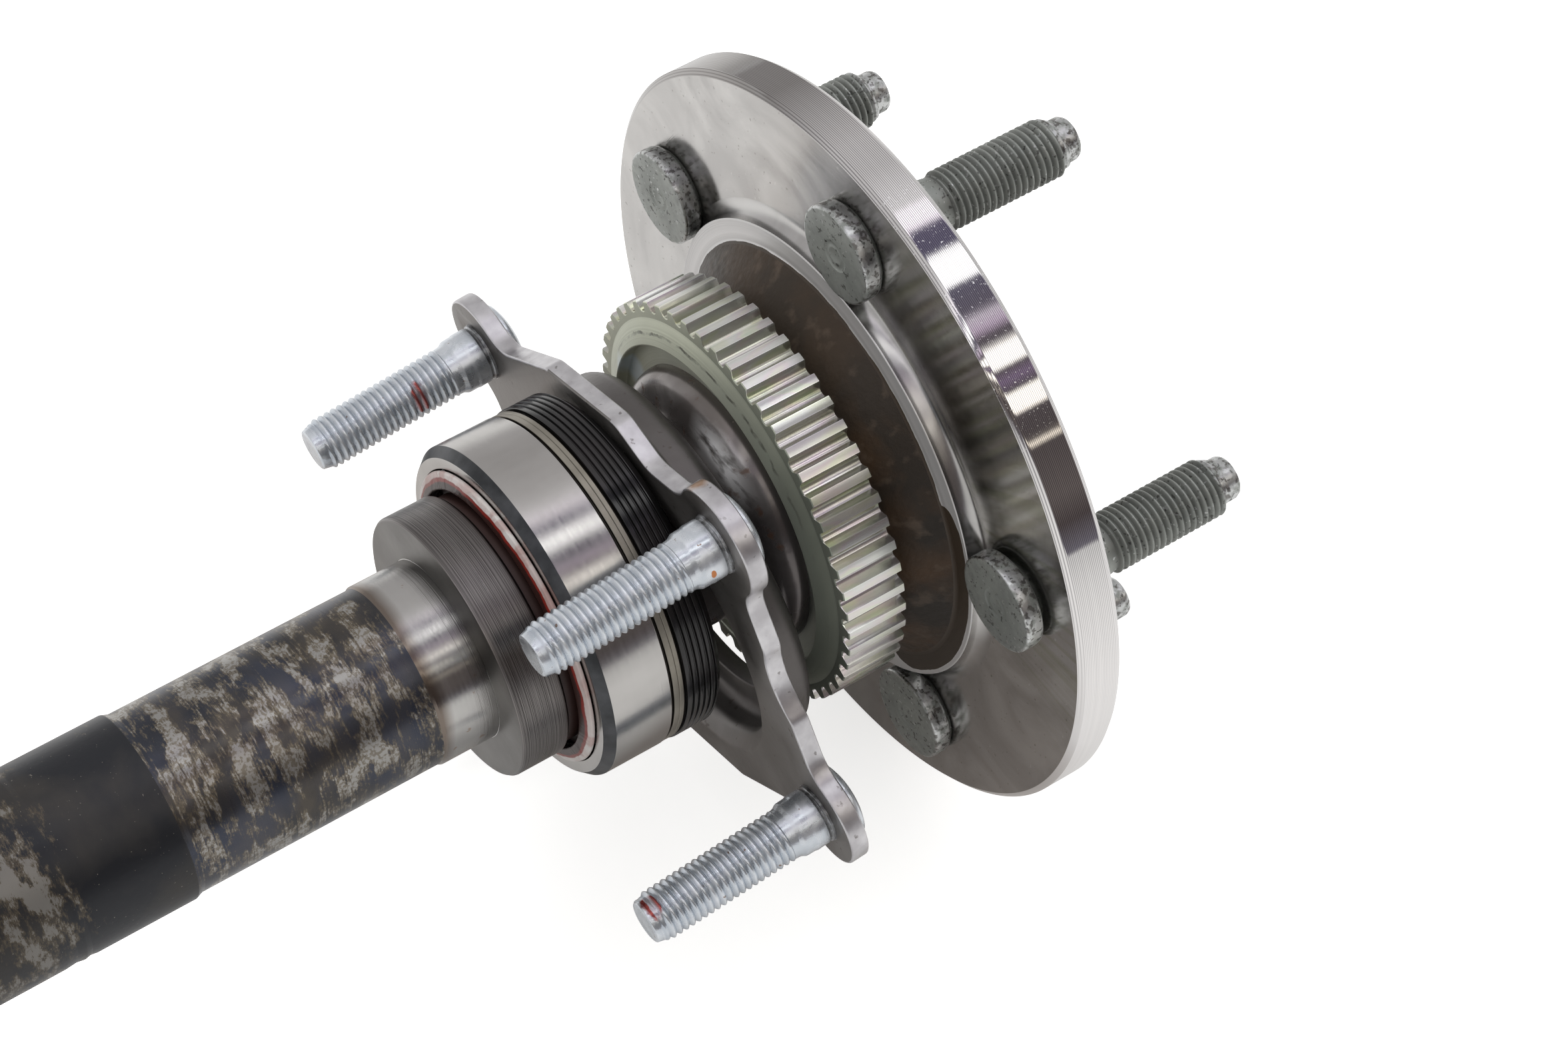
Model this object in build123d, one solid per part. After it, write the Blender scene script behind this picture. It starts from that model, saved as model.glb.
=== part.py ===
from build123d import *
import math
import os

os.makedirs("parts", exist_ok=True)

# Rear axle shaft with its bearing, retainer plate, tone ring and lock collar.
# Y is the axle's own axis, with +Y outboard, towards the wheel, and +Z up.
# The origin is the centre of the flange's wheel face. Lengths are in millimetres, angles in degrees.

# Wheel flange
FLANGE_R = 83.0
FLANGE_T = 9.9
FLANGE_EDGE = 1.0
PILOT_R = 35.7
PILOT_H = 9.0
PILOT_EDGE = 1.5
PILOT_CUP_R = 25.0
PILOT_CUP_DEPTH = 11.0
PILOT_CUP_DRAFT = 15.0
CENTRE_HOLE_R = 4.5
CENTRE_HOLE_DEPTH = 7.0

# Raised lip and forged hub behind the flange
LIP_R = 52.0
LIP_H = 3.6
LIP_WIDTH = 5.0
LIP_ROOT_SHARE = 0.85
HUB_R = 36.5

# Wheel studs
STUD_COUNT = 5
STUD_CIRCLE_R = 63.5
STUD_PHASE = 13.9
STUD_R = 6.35
STUD_KNURL_R = 6.8
STUD_HEAD_R = 10.55
STUD_HEAD_H = 4.5
STUD_HEAD_ROUND = 0.5
STUD_DIMPLE_R = 3.5
STUD_DIMPLE_DEPTH = 0.35
STUD_THREAD_END = 36.0
STUD_LENGTH = 42.0
STUD_DOG_R = 4.7
STUD_DOG_ROUND = 1.5
PROUD_STUD_LIFT = 1.1

# Tone ring
TONE_STATION = 24.4
TONE_WIDTH = 13.9
TONE_TIP_R = 45.05
TONE_TOOTH_DEPTH = 2.2
TONE_TEETH = 53
TONE_PHASE = 65.8
TONE_SLOT_WIDTH = 3.4
TONE_SLOT_ROUND = 1.3
TONE_BOSS_R = 36.0
TONE_BOSS_H = 2.3
TONE_CONE_RUN = 5.5
TONE_RECESS = 6.0
TONE_SEAT_R = 31.0

# Shaft behind the tone ring
SHOULDER_L = 4.0
SHOULDER_FILLET = 5.0
NECK_R = 21.0
NECK_FILLET = 3.0
NECK_CLEAR = 2.4
SEAT_R = 19.84
BAND_R = 19.7
BAND_L = 12.0
TURNED_R = 19.3
TURNED_L = 54.0
FORGED_R = 19.9
FORGED_L = 470.0
TAPER_L = 60.0
SPLINE_STEM_R = 15.2
SPLINE_STEM_L = 26.0
SPLINE_R = 16.65
SPLINE_DEPTH = 1.3
SPLINE_TEETH = 30
GROOVE_TOP_SHARE = 0.55
GROOVE_ROOT_SHARE = 0.32
SPLINE_L = 80.0
SPLINE_CHAMFER = 1.5

# Bearing
CUP_R = 36.72
CUP_W = 15.2
CUP_CHAMFER_R = 1.5
CUP_CHAMFER_L = 1.8
CONE_STANDOUT = 3.4
PITCH_R = 27.0
ROLLER_TILT = 14.0
ROLLER_HALF_ANGLE = 1.6
ROLLER_L = 13.4
ROLLER_COUNT = 20
RIB_H = 2.0
SLEEVE_WALL = 2.8
SLEEVE_STEP = 1.0
CAGE_WALL = 1.0
CAGE_LIFT = 0.3
CAGE_END = 1.5
CAGE_WINDOW_GAP = 0.25

# Bearing seal
CASE_W = 3.3
CASE_INSET = 0.12
CASE_WALL = 1.1
CASE_FLANGE = 8.1
RUBBER_W = 8.6
RUBBER_PROUD = 0.2
RUBBER_WALL = 5.4
RUBBER_WEB = 2.4
RIB_COUNT = 4
RIB_PITCH = 1.55
RIB_DEPTH = 0.85
RIB_FLANK_SHARE = 0.3
RIB_VALLEY_SHARE = 0.2
SEAL_TAPER = 1.6
LIP_SEAL_T = 2.3
LIP_SEAL_FLARE = 1.0
LIP_SEAL_EDGE = 1.0
GARTER_WIRE_R = 0.8
SEAL_PROUD = 0.7

# Retainer plate, which hangs loose on the neck
PLATE_T = 4.0
PLATE_HALF_LONG = 54.2
PLATE_HALF_SHORT = 48.0
PLATE_NOTCH = 7.0
PAD_STEEP_END = 17.5
PAD_STEEP_RUN = 9.0
PAD_GENTLE_END = 12.0
PAD_GENTLE_RUN = 23.0
SIDE_DIP = 2.6
SIDE_DIP_HALF = 9.0
EAR_R = 12.0
CORNER_BLEND = 8.0
CORNER_ROUND = 5.0
BOSS_R = 42.3
BOSS_H = 13.0
BOSS_ROUND = 4.0
BOSS_ROOT = 2.0
POCKET_R = 38.3
POCKET_MOUTH = 3.0
POCKET_CORNER = 2.5
BOSS_HOLE_R = 31.5
PLATE_TILT = 5.8
PLATE_TURN = 21.2

# Studs staked in the plate
HOUSING_STUD_LONG = 100.8
HOUSING_STUD_SHORT = 69.8
HOUSING_STUD_R = 5.55
HOUSING_STUD_L = 41.6
HOUSING_STUD_CHAMFER = 1.4
STAKE_R = 6.0
COLLAR_R = 6.7
COLLAR_L = 4.4
FLARE_L = 4.8
FLARE_R = 4.95
CAP_R = 8.3
CAP_H = 2.8
CAP_ROUND = 2.0

# Lock collar
LOCK_R = 28.6
LOCK_W = 10.9
LOCK_CHAMFER = 1.1

# Clearances
SNUG = 0.02
RUN_GAP = 0.3
HEAD_SEAT_GAP = 0.4
RACE_GAP = 0.12
PLATE_TONE_GAP = 1.6
PLATE_SEAL_GAP = 0.6
PAST = 1.0


def turned(outline, rounds=()):
    """Revolve (radius, y) points about the axle, after rounding the corners named by index."""
    face = make_face(Polyline(*outline, close=True))
    for index, radius in rounds:
        corner = face.vertices().sort_by_distance(outline[index])[0]
        face = fillet(corner, radius)
    return revolve(face, Axis.Y)


def ring_place(radius, angle):
    """Centre on a circle round the axle, with the angle counted from +X towards +Z."""
    return Pos(radius * math.cos(math.radians(angle)), 0, radius * math.sin(math.radians(angle)))


def save(solid, node):
    export_step(solid, "parts/" + node + ".step")


# Stations along the axle, from the wheel face inboard
flange_back = -FLANGE_T
lip_face = flange_back - LIP_H
tone_out = -TONE_STATION
tone_in = tone_out - TONE_WIDTH
tone_boss_face = tone_in - TONE_BOSS_H
shoulder_end = tone_in - SHOULDER_L

# The tilted plate hangs from the top of its hole on the neck, clear of the tone ring and the seal.
tilt = math.radians(PLATE_TILT)
pocket_depth = BOSS_H - PLATE_T
plate_drop = BOSS_HOLE_R * math.cos(tilt) + pocket_depth * math.sin(tilt) - NECK_R - RUN_GAP
boss_reach = BOSS_H * math.cos(tilt) + BOSS_R * math.sin(tilt)
plate_face = tone_in - PLATE_TONE_GAP - boss_reach
neck_start = plate_face + BOSS_H * math.cos(tilt) - BOSS_HOLE_R * math.sin(tilt) + NECK_CLEAR
case_r = CUP_R - CASE_INSET
rubber_r = CUP_R + RUBBER_PROUD
seal_end = plate_face - PLATE_SEAL_GAP - math.sin(tilt) * (rubber_r + plate_drop)

seat_shoulder = seal_end - SEAL_PROUD
case_out = seal_end - RUBBER_W
cup_out = case_out - CASE_W
cup_in = cup_out - CUP_W
cone_in = cup_in - CONE_STANDOUT
lock_in = cone_in - LOCK_W
band_end = lock_in - BAND_L
turned_end = band_end - TURNED_L
forged_end = turned_end - FORGED_L
taper_end = forged_end - TAPER_L
stem_end = taper_end - SPLINE_STEM_L
shaft_end = stem_end - SPLINE_L

# Raceways and rollers are cones that share one apex on the axle, outboard of the bearing.
roller_mid = (cup_in + cup_out) / 2
apex = roller_mid + PITCH_R / math.tan(math.radians(ROLLER_TILT))
cup_slope = math.tan(math.radians(ROLLER_TILT + ROLLER_HALF_ANGLE))
cone_slope = math.tan(math.radians(ROLLER_TILT - ROLLER_HALF_ANGLE))
pitch_slope = math.tan(math.radians(ROLLER_TILT))
roller_run = ROLLER_L / 2 * math.cos(math.radians(ROLLER_TILT))
big_end = roller_mid - roller_run
small_end = roller_mid + roller_run
roller_taper = math.tan(math.radians(ROLLER_HALF_ANGLE))
roller_reach = PITCH_R / math.sin(math.radians(ROLLER_TILT))
big_end_r = (roller_reach + ROLLER_L / 2) * roller_taper
rib_face = big_end - big_end_r * math.sin(math.radians(ROLLER_TILT)) - RACE_GAP


def cup_race(y):
    return (apex - y) * cup_slope + RACE_GAP


def cone_race(y):
    return (apex - y) * cone_slope - RACE_GAP


def pitch_line(y):
    return (apex - y) * pitch_slope


# The forging, from the centre hole on the wheel side round to the stem of the spline
cup_floor = PILOT_H - PILOT_CUP_DEPTH
cup_floor_r = PILOT_CUP_R - PILOT_CUP_DEPTH * math.tan(math.radians(PILOT_CUP_DRAFT))
lip_inner_r = LIP_R - LIP_WIDTH
lip_root_fillet = LIP_H * LIP_ROOT_SHARE
forging = turned(
    [
        (0, cup_floor - CENTRE_HOLE_DEPTH),
        (CENTRE_HOLE_R, cup_floor),
        (cup_floor_r, cup_floor),
        (PILOT_CUP_R, PILOT_H),
        (PILOT_R - PILOT_EDGE, PILOT_H),
        (PILOT_R, PILOT_H - PILOT_EDGE),
        (PILOT_R, 0),
        (FLANGE_R - FLANGE_EDGE, 0),
        (FLANGE_R, -FLANGE_EDGE),
        (FLANGE_R, flange_back + FLANGE_EDGE),
        (FLANGE_R - FLANGE_EDGE, flange_back),
        (LIP_R, flange_back),
        (LIP_R, lip_face),
        (lip_inner_r, lip_face),
        (HUB_R, tone_out),
        (TONE_SEAT_R, tone_out),
        (TONE_SEAT_R, shoulder_end),
        (NECK_R, neck_start),
        (NECK_R, seat_shoulder),
        (SEAT_R, seat_shoulder),
        (SEAT_R, lock_in),
        (BAND_R, lock_in),
        (BAND_R, band_end),
        (TURNED_R, band_end),
        (TURNED_R, turned_end),
        (FORGED_R, turned_end),
        (FORGED_R, forged_end),
        (SPLINE_STEM_R, taper_end),
        (SPLINE_STEM_R, stem_end),
        (0, stem_end),
    ],
    [(2, PILOT_EDGE), (11, lip_root_fillet), (16, SHOULDER_FILLET), (17, NECK_FILLET)],
)
stud_bore = turned([
    (0, flange_back - PAST),
    (STUD_KNURL_R + SNUG, flange_back - PAST),
    (STUD_KNURL_R + SNUG, PAST),
    (0, PAST),
])
stud_seat = turned([
    (0, flange_back - LIP_H - PAST),
    (STUD_HEAD_R + HEAD_SEAT_GAP, flange_back - LIP_H - PAST),
    (STUD_HEAD_R + HEAD_SEAT_GAP, flange_back),
    (0, flange_back),
])
stud_places = [
    ring_place(STUD_CIRCLE_R, STUD_PHASE + 360 / STUD_COUNT * number) for number in range(STUD_COUNT)
]
for place in stud_places:
    forging -= place * stud_bore
    forging -= place * stud_seat

# Splined inner end, with straight-sided grooves
groove_half_top = math.pi * SPLINE_R / SPLINE_TEETH * GROOVE_TOP_SHARE
groove_half_root = math.pi * SPLINE_R / SPLINE_TEETH * GROOVE_ROOT_SHARE
groove = Polygon(
    (SPLINE_R - SPLINE_DEPTH, -groove_half_root),
    (SPLINE_R + SPLINE_DEPTH, -groove_half_top),
    (SPLINE_R + SPLINE_DEPTH, groove_half_top),
    (SPLINE_R - SPLINE_DEPTH, groove_half_root),
    align=None,
)
spline_section = Circle(SPLINE_R)
for number in range(SPLINE_TEETH):
    spline_section -= Rot(0, 0, 360 / SPLINE_TEETH * number) * groove
spline = extrude(Plane.XZ.offset(-stem_end) * spline_section, amount=SPLINE_L)
spline_envelope = turned([
    (0, stem_end),
    (SPLINE_STEM_R, stem_end),
    (SPLINE_R, stem_end - SPLINE_CHAMFER),
    (SPLINE_R, shaft_end + SPLINE_CHAMFER),
    (SPLINE_R - SPLINE_CHAMFER, shaft_end),
    (CENTRE_HOLE_R, shaft_end),
    (0, shaft_end + CENTRE_HOLE_DEPTH),
])
axle_shaft = forging + (spline & spline_envelope)
save(axle_shaft, "axle_shaft")


def stud_solid(lift):
    """A stud with a flat round head, a knurled seat and a dog point; its head stands off by the lift."""
    under_head = flange_back - lift
    stud_back = under_head - STUD_HEAD_H
    return turned(
        [
            (0, stud_back + STUD_DIMPLE_DEPTH),
            (STUD_DIMPLE_R - STUD_DIMPLE_DEPTH, stud_back + STUD_DIMPLE_DEPTH),
            (STUD_DIMPLE_R, stud_back),
            (STUD_HEAD_R, stud_back),
            (STUD_HEAD_R, under_head),
            (STUD_KNURL_R, under_head),
            (STUD_KNURL_R, 0),
            (STUD_R, 0),
            (STUD_R, STUD_THREAD_END),
            (STUD_DOG_R, STUD_THREAD_END + STUD_R - STUD_DOG_R),
            (STUD_DOG_R, STUD_LENGTH),
            (0, STUD_LENGTH),
        ],
        [(3, STUD_HEAD_ROUND), (10, STUD_DOG_ROUND)],
    )


# Wheel studs: the first one's head does not sit home on the flange.
for number, place in enumerate(stud_places, start=1):
    save(place * stud_solid(PROUD_STUD_LIFT if number == 1 else 0), f"wheel_stud_{number}")

# Tone ring, with straight slots that have round bottoms, and a coned boss round a recess inboard
slot_floor_r = TONE_TIP_R - TONE_TOOTH_DEPTH
slot_round_r = slot_floor_r + TONE_SLOT_ROUND
slot = Pos(slot_round_r, 0) * Circle(TONE_SLOT_ROUND) + Polygon(
    (slot_round_r, -TONE_SLOT_ROUND),
    (TONE_TIP_R, -TONE_SLOT_WIDTH / 2),
    (TONE_TIP_R + PAST, -TONE_SLOT_WIDTH / 2),
    (TONE_TIP_R + PAST, TONE_SLOT_WIDTH / 2),
    (TONE_TIP_R, TONE_SLOT_WIDTH / 2),
    (slot_round_r, TONE_SLOT_ROUND),
    align=None,
)
tone_section = Circle(TONE_TIP_R) - Circle(TONE_SEAT_R + SNUG)
for number in range(TONE_TEETH):
    tone_section -= Rot(0, 0, TONE_PHASE + 360 / TONE_TEETH * (number + 0.5)) * slot
tone_ring = extrude(Plane.XZ.offset(-tone_out) * tone_section, amount=TONE_WIDTH)
tone_ring += turned([
    (TONE_SEAT_R + SNUG, tone_in),
    (TONE_BOSS_R + TONE_CONE_RUN, tone_in),
    (TONE_BOSS_R, tone_boss_face),
    (TONE_SEAT_R + SNUG, tone_boss_face),
])
tone_ring -= turned([
    (0, tone_boss_face - PAST),
    (TONE_BOSS_R, tone_boss_face - PAST),
    (TONE_BOSS_R, tone_boss_face + TONE_RECESS),
    (0, tone_boss_face + TONE_RECESS),
])
save(tone_ring, "tone_ring")

# Bearing cone, with a thrust rib inboard and a plain sleeve outboard for the seal
sleeve_r = SEAT_R + SLEEVE_WALL
bearing_cone = turned([
    (SEAT_R + SNUG, cone_in),
    (cone_race(rib_face) + RIB_H, cone_in),
    (cone_race(rib_face) + RIB_H, rib_face),
    (cone_race(rib_face), rib_face),
    (cone_race(small_end), small_end),
    (sleeve_r, small_end + SLEEVE_STEP),
    (sleeve_r, seat_shoulder),
    (SEAT_R + SNUG, seat_shoulder),
])
save(bearing_cone, "bearing_cone")

bearing_cup = turned([
    (cup_race(cup_in), cup_in),
    (CUP_R - CUP_CHAMFER_R, cup_in),
    (CUP_R, cup_in + CUP_CHAMFER_L),
    (CUP_R, cup_out),
    (cup_race(cup_out), cup_out),
])
save(bearing_cup, "bearing_cup")


def roller_solid(widen, lengthen):
    """A tapered roller about Y at the bearing's middle, larger all round where it cuts a window."""
    half = ROLLER_L / 2 + lengthen
    return turned([
        (0, -half),
        ((roller_reach + half) * roller_taper + widen, -half),
        ((roller_reach - half) * roller_taper + widen, half),
        (0, half),
    ])


roller_seat = Pos(PITCH_R, roller_mid, 0) * Rot(0, 0, ROLLER_TILT)
window_cutter = roller_seat * roller_solid(CAGE_WINDOW_GAP, CAGE_WINDOW_GAP)
roller_at_x = roller_seat * roller_solid(0, 0)

# Cage, a coned shell just outside the rollers' pitch line, with one window for each roller
cage_big = big_end - CAGE_END
cage_small = small_end + CAGE_END
cage = turned([
    (pitch_line(cage_big) + CAGE_LIFT, cage_big),
    (pitch_line(cage_big) + CAGE_LIFT + CAGE_WALL, cage_big),
    (pitch_line(cage_small) + CAGE_LIFT + CAGE_WALL, cage_small),
    (pitch_line(cage_small) + CAGE_LIFT, cage_small),
])
for number in range(ROLLER_COUNT):
    turn = Rot(0, 360 / ROLLER_COUNT * number, 0)
    cage -= turn * window_cutter
    save(turn * roller_at_x, f"roller_{number + 1:02d}")
save(cage, "bearing_cage")

# Seal case, a pressed ring against the cup's outboard face
seal_case = turned([
    (case_r, cup_out),
    (case_r, case_out),
    (case_r - CASE_FLANGE, case_out),
    (case_r - CASE_FLANGE, case_out - CASE_WALL),
    (case_r - CASE_WALL, case_out - CASE_WALL),
    (case_r - CASE_WALL, cup_out),
])
save(seal_case, "seal_case")

# Rubber seal, with ribs round the outside, a tapered end and a sprung lip over the sleeve
rib_start = case_out + (RUBBER_W - SEAL_TAPER - RIB_COUNT * RIB_PITCH)
rib_flank = RIB_PITCH * RIB_FLANK_SHARE
rib_valley = RIB_PITCH * RIB_VALLEY_SHARE
ribs = []
for number in range(RIB_COUNT):
    foot = rib_start + number * RIB_PITCH
    ribs += [
        (rubber_r, foot),
        (rubber_r - RIB_DEPTH, foot + rib_flank),
        (rubber_r - RIB_DEPTH, foot + rib_flank + rib_valley),
        (rubber_r, foot + 2 * rib_flank + rib_valley),
    ]
web_face = case_out + RUBBER_WEB
lip_edge_r = sleeve_r + RUN_GAP
lip_back_r = lip_edge_r + LIP_SEAL_T
lip_tip = seal_end - SEAL_TAPER
rubber_inner_r = rubber_r - RUBBER_WALL
rubber_section = make_face(Polyline(
    (rubber_r, case_out),
    *ribs,
    (rubber_r, lip_tip),
    (rubber_r - SEAL_TAPER, seal_end),
    (rubber_inner_r, seal_end),
    (rubber_inner_r, web_face),
    (lip_back_r + LIP_SEAL_FLARE, web_face),
    (lip_back_r, lip_tip),
    (lip_edge_r + LIP_SEAL_EDGE, lip_tip),
    (lip_edge_r, lip_tip - LIP_SEAL_EDGE),
    (lip_edge_r + LIP_SEAL_EDGE, case_out),
    close=True,
))
garter_centre = (lip_back_r + GARTER_WIRE_R, (web_face + lip_tip) / 2)
rubber_seal = revolve(rubber_section - Pos(*garter_centre) * Circle(GARTER_WIRE_R + SNUG), Axis.Y)
save(rubber_seal, "rubber_seal")
save(revolve(Pos(*garter_centre) * Circle(GARTER_WIRE_R), Axis.Y), "garter_spring")

lock_collar = turned([
    (SEAT_R + SNUG, lock_in),
    (LOCK_R - LOCK_CHAMFER, lock_in),
    (LOCK_R, lock_in + LOCK_CHAMFER),
    (LOCK_R, cone_in - LOCK_CHAMFER),
    (LOCK_R - LOCK_CHAMFER, cone_in),
    (SEAT_R + SNUG, cone_in),
])
save(lock_collar, "lock_collar")

# Retainer plate, first flat about Y with its inboard face at y = 0, then hung on the neck
hang = Pos(0, plate_face, -plate_drop) * Rot(PLATE_TILT, 0, 0) * Rot(0, -PLATE_TURN, 0)
waist = PLATE_HALF_SHORT - PLATE_NOTCH
steep_foot = PAD_STEEP_END + PAD_STEEP_RUN
gentle_foot = PAD_GENTLE_END + PAD_GENTLE_RUN
housing_places = [
    Pos(side * HOUSING_STUD_LONG / 2, 0, level * HOUSING_STUD_SHORT / 2)
    for side, level in ((1, 1), (-1, 1), (-1, -1), (1, -1))
]
outline = Rectangle(2 * PLATE_HALF_LONG, 2 * waist)
outline += Polygon(
    (-steep_foot, -waist),
    (-PAD_STEEP_END, -PLATE_HALF_SHORT),
    (PAD_GENTLE_END, -PLATE_HALF_SHORT),
    (gentle_foot, -waist),
    (steep_foot, waist),
    (PAD_STEEP_END, PLATE_HALF_SHORT),
    (-PAD_GENTLE_END, PLATE_HALF_SHORT),
    (-gentle_foot, waist),
    align=None,
)
for side, level in ((1, 1), (-1, 1), (-1, -1), (1, -1)):
    outline += Pos(side * HOUSING_STUD_LONG / 2, level * HOUSING_STUD_SHORT / 2) * Circle(EAR_R)
dip_r = (SIDE_DIP_HALF**2 + SIDE_DIP**2) / (2 * SIDE_DIP)
for side in (1, -1):
    outline -= Pos(side * (PLATE_HALF_LONG - SIDE_DIP + dip_r), 0) * Circle(dip_r)
outline = offset(offset(outline, amount=CORNER_BLEND), amount=-CORNER_BLEND)
outline = offset(offset(outline, amount=-CORNER_ROUND), amount=CORNER_ROUND)
plate = extrude(Plane.XZ * outline, amount=PLATE_T, dir=(0, 1, 0))
plate += turned(
    [
        (0, 0),
        (BOSS_R + BOSS_ROOT, 0),
        (BOSS_R + BOSS_ROOT, PLATE_T),
        (BOSS_R, PLATE_T + BOSS_ROOT),
        (BOSS_R, BOSS_H),
        (0, BOSS_H),
    ],
    [(4, BOSS_ROUND)],
)
plate -= turned(
    [
        (0, -PAST),
        (POCKET_R + POCKET_MOUTH + PAST, -PAST),
        (POCKET_R, POCKET_MOUTH),
        (POCKET_R, pocket_depth),
        (BOSS_HOLE_R, pocket_depth),
        (BOSS_HOLE_R, BOSS_H + PAST),
        (0, BOSS_H + PAST),
    ],
    [(2, POCKET_MOUTH), (3, POCKET_CORNER)],
)
stake_bore = turned([
    (0, -PAST),
    (STAKE_R + SNUG, -PAST),
    (STAKE_R + SNUG, PLATE_T + PAST),
    (0, PLATE_T + PAST),
])
for place in housing_places:
    plate -= place * stake_bore
save(hang * plate, "retainer_plate")

# Housing studs, staked through the plate with a low domed cap outboard and the thread inboard
housing_stud = turned(
    [
        (0, PLATE_T + CAP_H),
        (CAP_R, PLATE_T + CAP_H),
        (CAP_R, PLATE_T),
        (STAKE_R, PLATE_T),
        (STAKE_R, 0),
        (COLLAR_R, 0),
        (COLLAR_R, -COLLAR_L),
        (FLARE_R, -COLLAR_L - FLARE_L),
        (HOUSING_STUD_R, -COLLAR_L - FLARE_L),
        (HOUSING_STUD_R, HOUSING_STUD_CHAMFER - HOUSING_STUD_L),
        (HOUSING_STUD_R - HOUSING_STUD_CHAMFER, -HOUSING_STUD_L),
        (0, -HOUSING_STUD_L),
    ],
    [(1, CAP_ROUND)],
)
for number, place in enumerate(housing_places, start=1):
    save(hang * place * housing_stud, f"housing_stud_{number}")
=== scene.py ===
import math

import bpy
from mathutils import Matrix, Vector


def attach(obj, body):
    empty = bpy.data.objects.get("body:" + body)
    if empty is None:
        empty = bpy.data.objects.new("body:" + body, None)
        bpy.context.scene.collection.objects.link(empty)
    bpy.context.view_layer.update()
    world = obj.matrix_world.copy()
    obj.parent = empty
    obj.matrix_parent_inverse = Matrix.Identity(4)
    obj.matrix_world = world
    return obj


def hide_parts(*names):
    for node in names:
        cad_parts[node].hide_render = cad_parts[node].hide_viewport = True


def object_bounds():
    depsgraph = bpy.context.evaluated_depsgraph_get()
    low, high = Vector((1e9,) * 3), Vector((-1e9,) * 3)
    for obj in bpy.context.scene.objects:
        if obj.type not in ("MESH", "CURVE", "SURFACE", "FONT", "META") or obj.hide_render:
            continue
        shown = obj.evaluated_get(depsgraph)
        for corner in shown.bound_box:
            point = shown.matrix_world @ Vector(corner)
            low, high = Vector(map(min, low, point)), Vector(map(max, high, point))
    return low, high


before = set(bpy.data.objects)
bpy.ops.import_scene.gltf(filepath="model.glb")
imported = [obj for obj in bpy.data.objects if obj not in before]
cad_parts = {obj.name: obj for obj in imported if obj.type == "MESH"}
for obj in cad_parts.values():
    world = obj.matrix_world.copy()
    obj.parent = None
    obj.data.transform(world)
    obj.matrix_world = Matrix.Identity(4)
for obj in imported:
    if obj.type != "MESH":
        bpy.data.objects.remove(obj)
cad_low, cad_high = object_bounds()

# Studio: the camera stands where the photograph was taken from, above and inboard of the flange.
# A pale table carries the part, under an even white surround with a few long lamps and dark gaps.
camera = bpy.data.objects.new("studio_camera", bpy.data.cameras.new("studio_camera"))
bpy.context.scene.collection.objects.link(camera)
camera.data.sensor_fit = "HORIZONTAL"
camera.data.sensor_width = 36.0
camera.data.lens = 90.07
camera.data.clip_start = 0.05
look = Vector((-0.513734, 0.352332, -0.782266)).normalized()
right = Vector((0.56559, 0.82469, 0.0)).normalized()
up = right.cross(look)
turn = Matrix((right, up, -look)).transposed().to_4x4()
camera.matrix_world = Matrix.Translation((0.41969, -0.31087, 0.62162)) @ turn
bpy.context.scene.camera = camera
bpy.context.scene.view_settings.view_transform = "Standard"


def add_node(tree, kind, inputs=None, **settings):
    """Add one shader node, with its settings, its plain input values and its incoming links."""
    made = tree.nodes.new(kind)
    for key, value in settings.items():
        setattr(made, key, value)
    for key, value in (inputs or {}).items():
        if isinstance(value, bpy.types.NodeSocket):
            tree.links.new(value, made.inputs[key])
        else:
            made.inputs[key].default_value = value
    return made


def add_step(kind, inputs, **settings):
    """Add one shader node to the tree that its incoming sockets belong to."""
    sockets = [value for value in inputs.values() if isinstance(value, bpy.types.NodeSocket)]
    return add_node(sockets[0].id_data, kind, inputs, **settings)


def math_node(operation, first, second=0.0, third=0.0):
    """The result of one math step on values or sockets."""
    return add_step("ShaderNodeMath", {0: first, 1: second, 2: third}, operation=operation).outputs[0]


def linear(value, slope, offset):
    """A value times a slope, plus an offset."""
    return math_node("MULTIPLY_ADD", value, slope, offset)


def ramp_node(factor, stops):
    """Colours along a value, from a list of (place, (red, green, blue))."""
    made = add_step("ShaderNodeValToRGB", {"Fac": factor})
    elements = made.color_ramp.elements
    for element, (place, colour) in zip(elements, (stops[0], stops[-1])):
        element.position = place
        element.color = (*colour, 1.0)
    for place, colour in stops[1:-1]:
        elements.new(place).color = (*colour, 1.0)
    return made.outputs["Color"]


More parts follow.
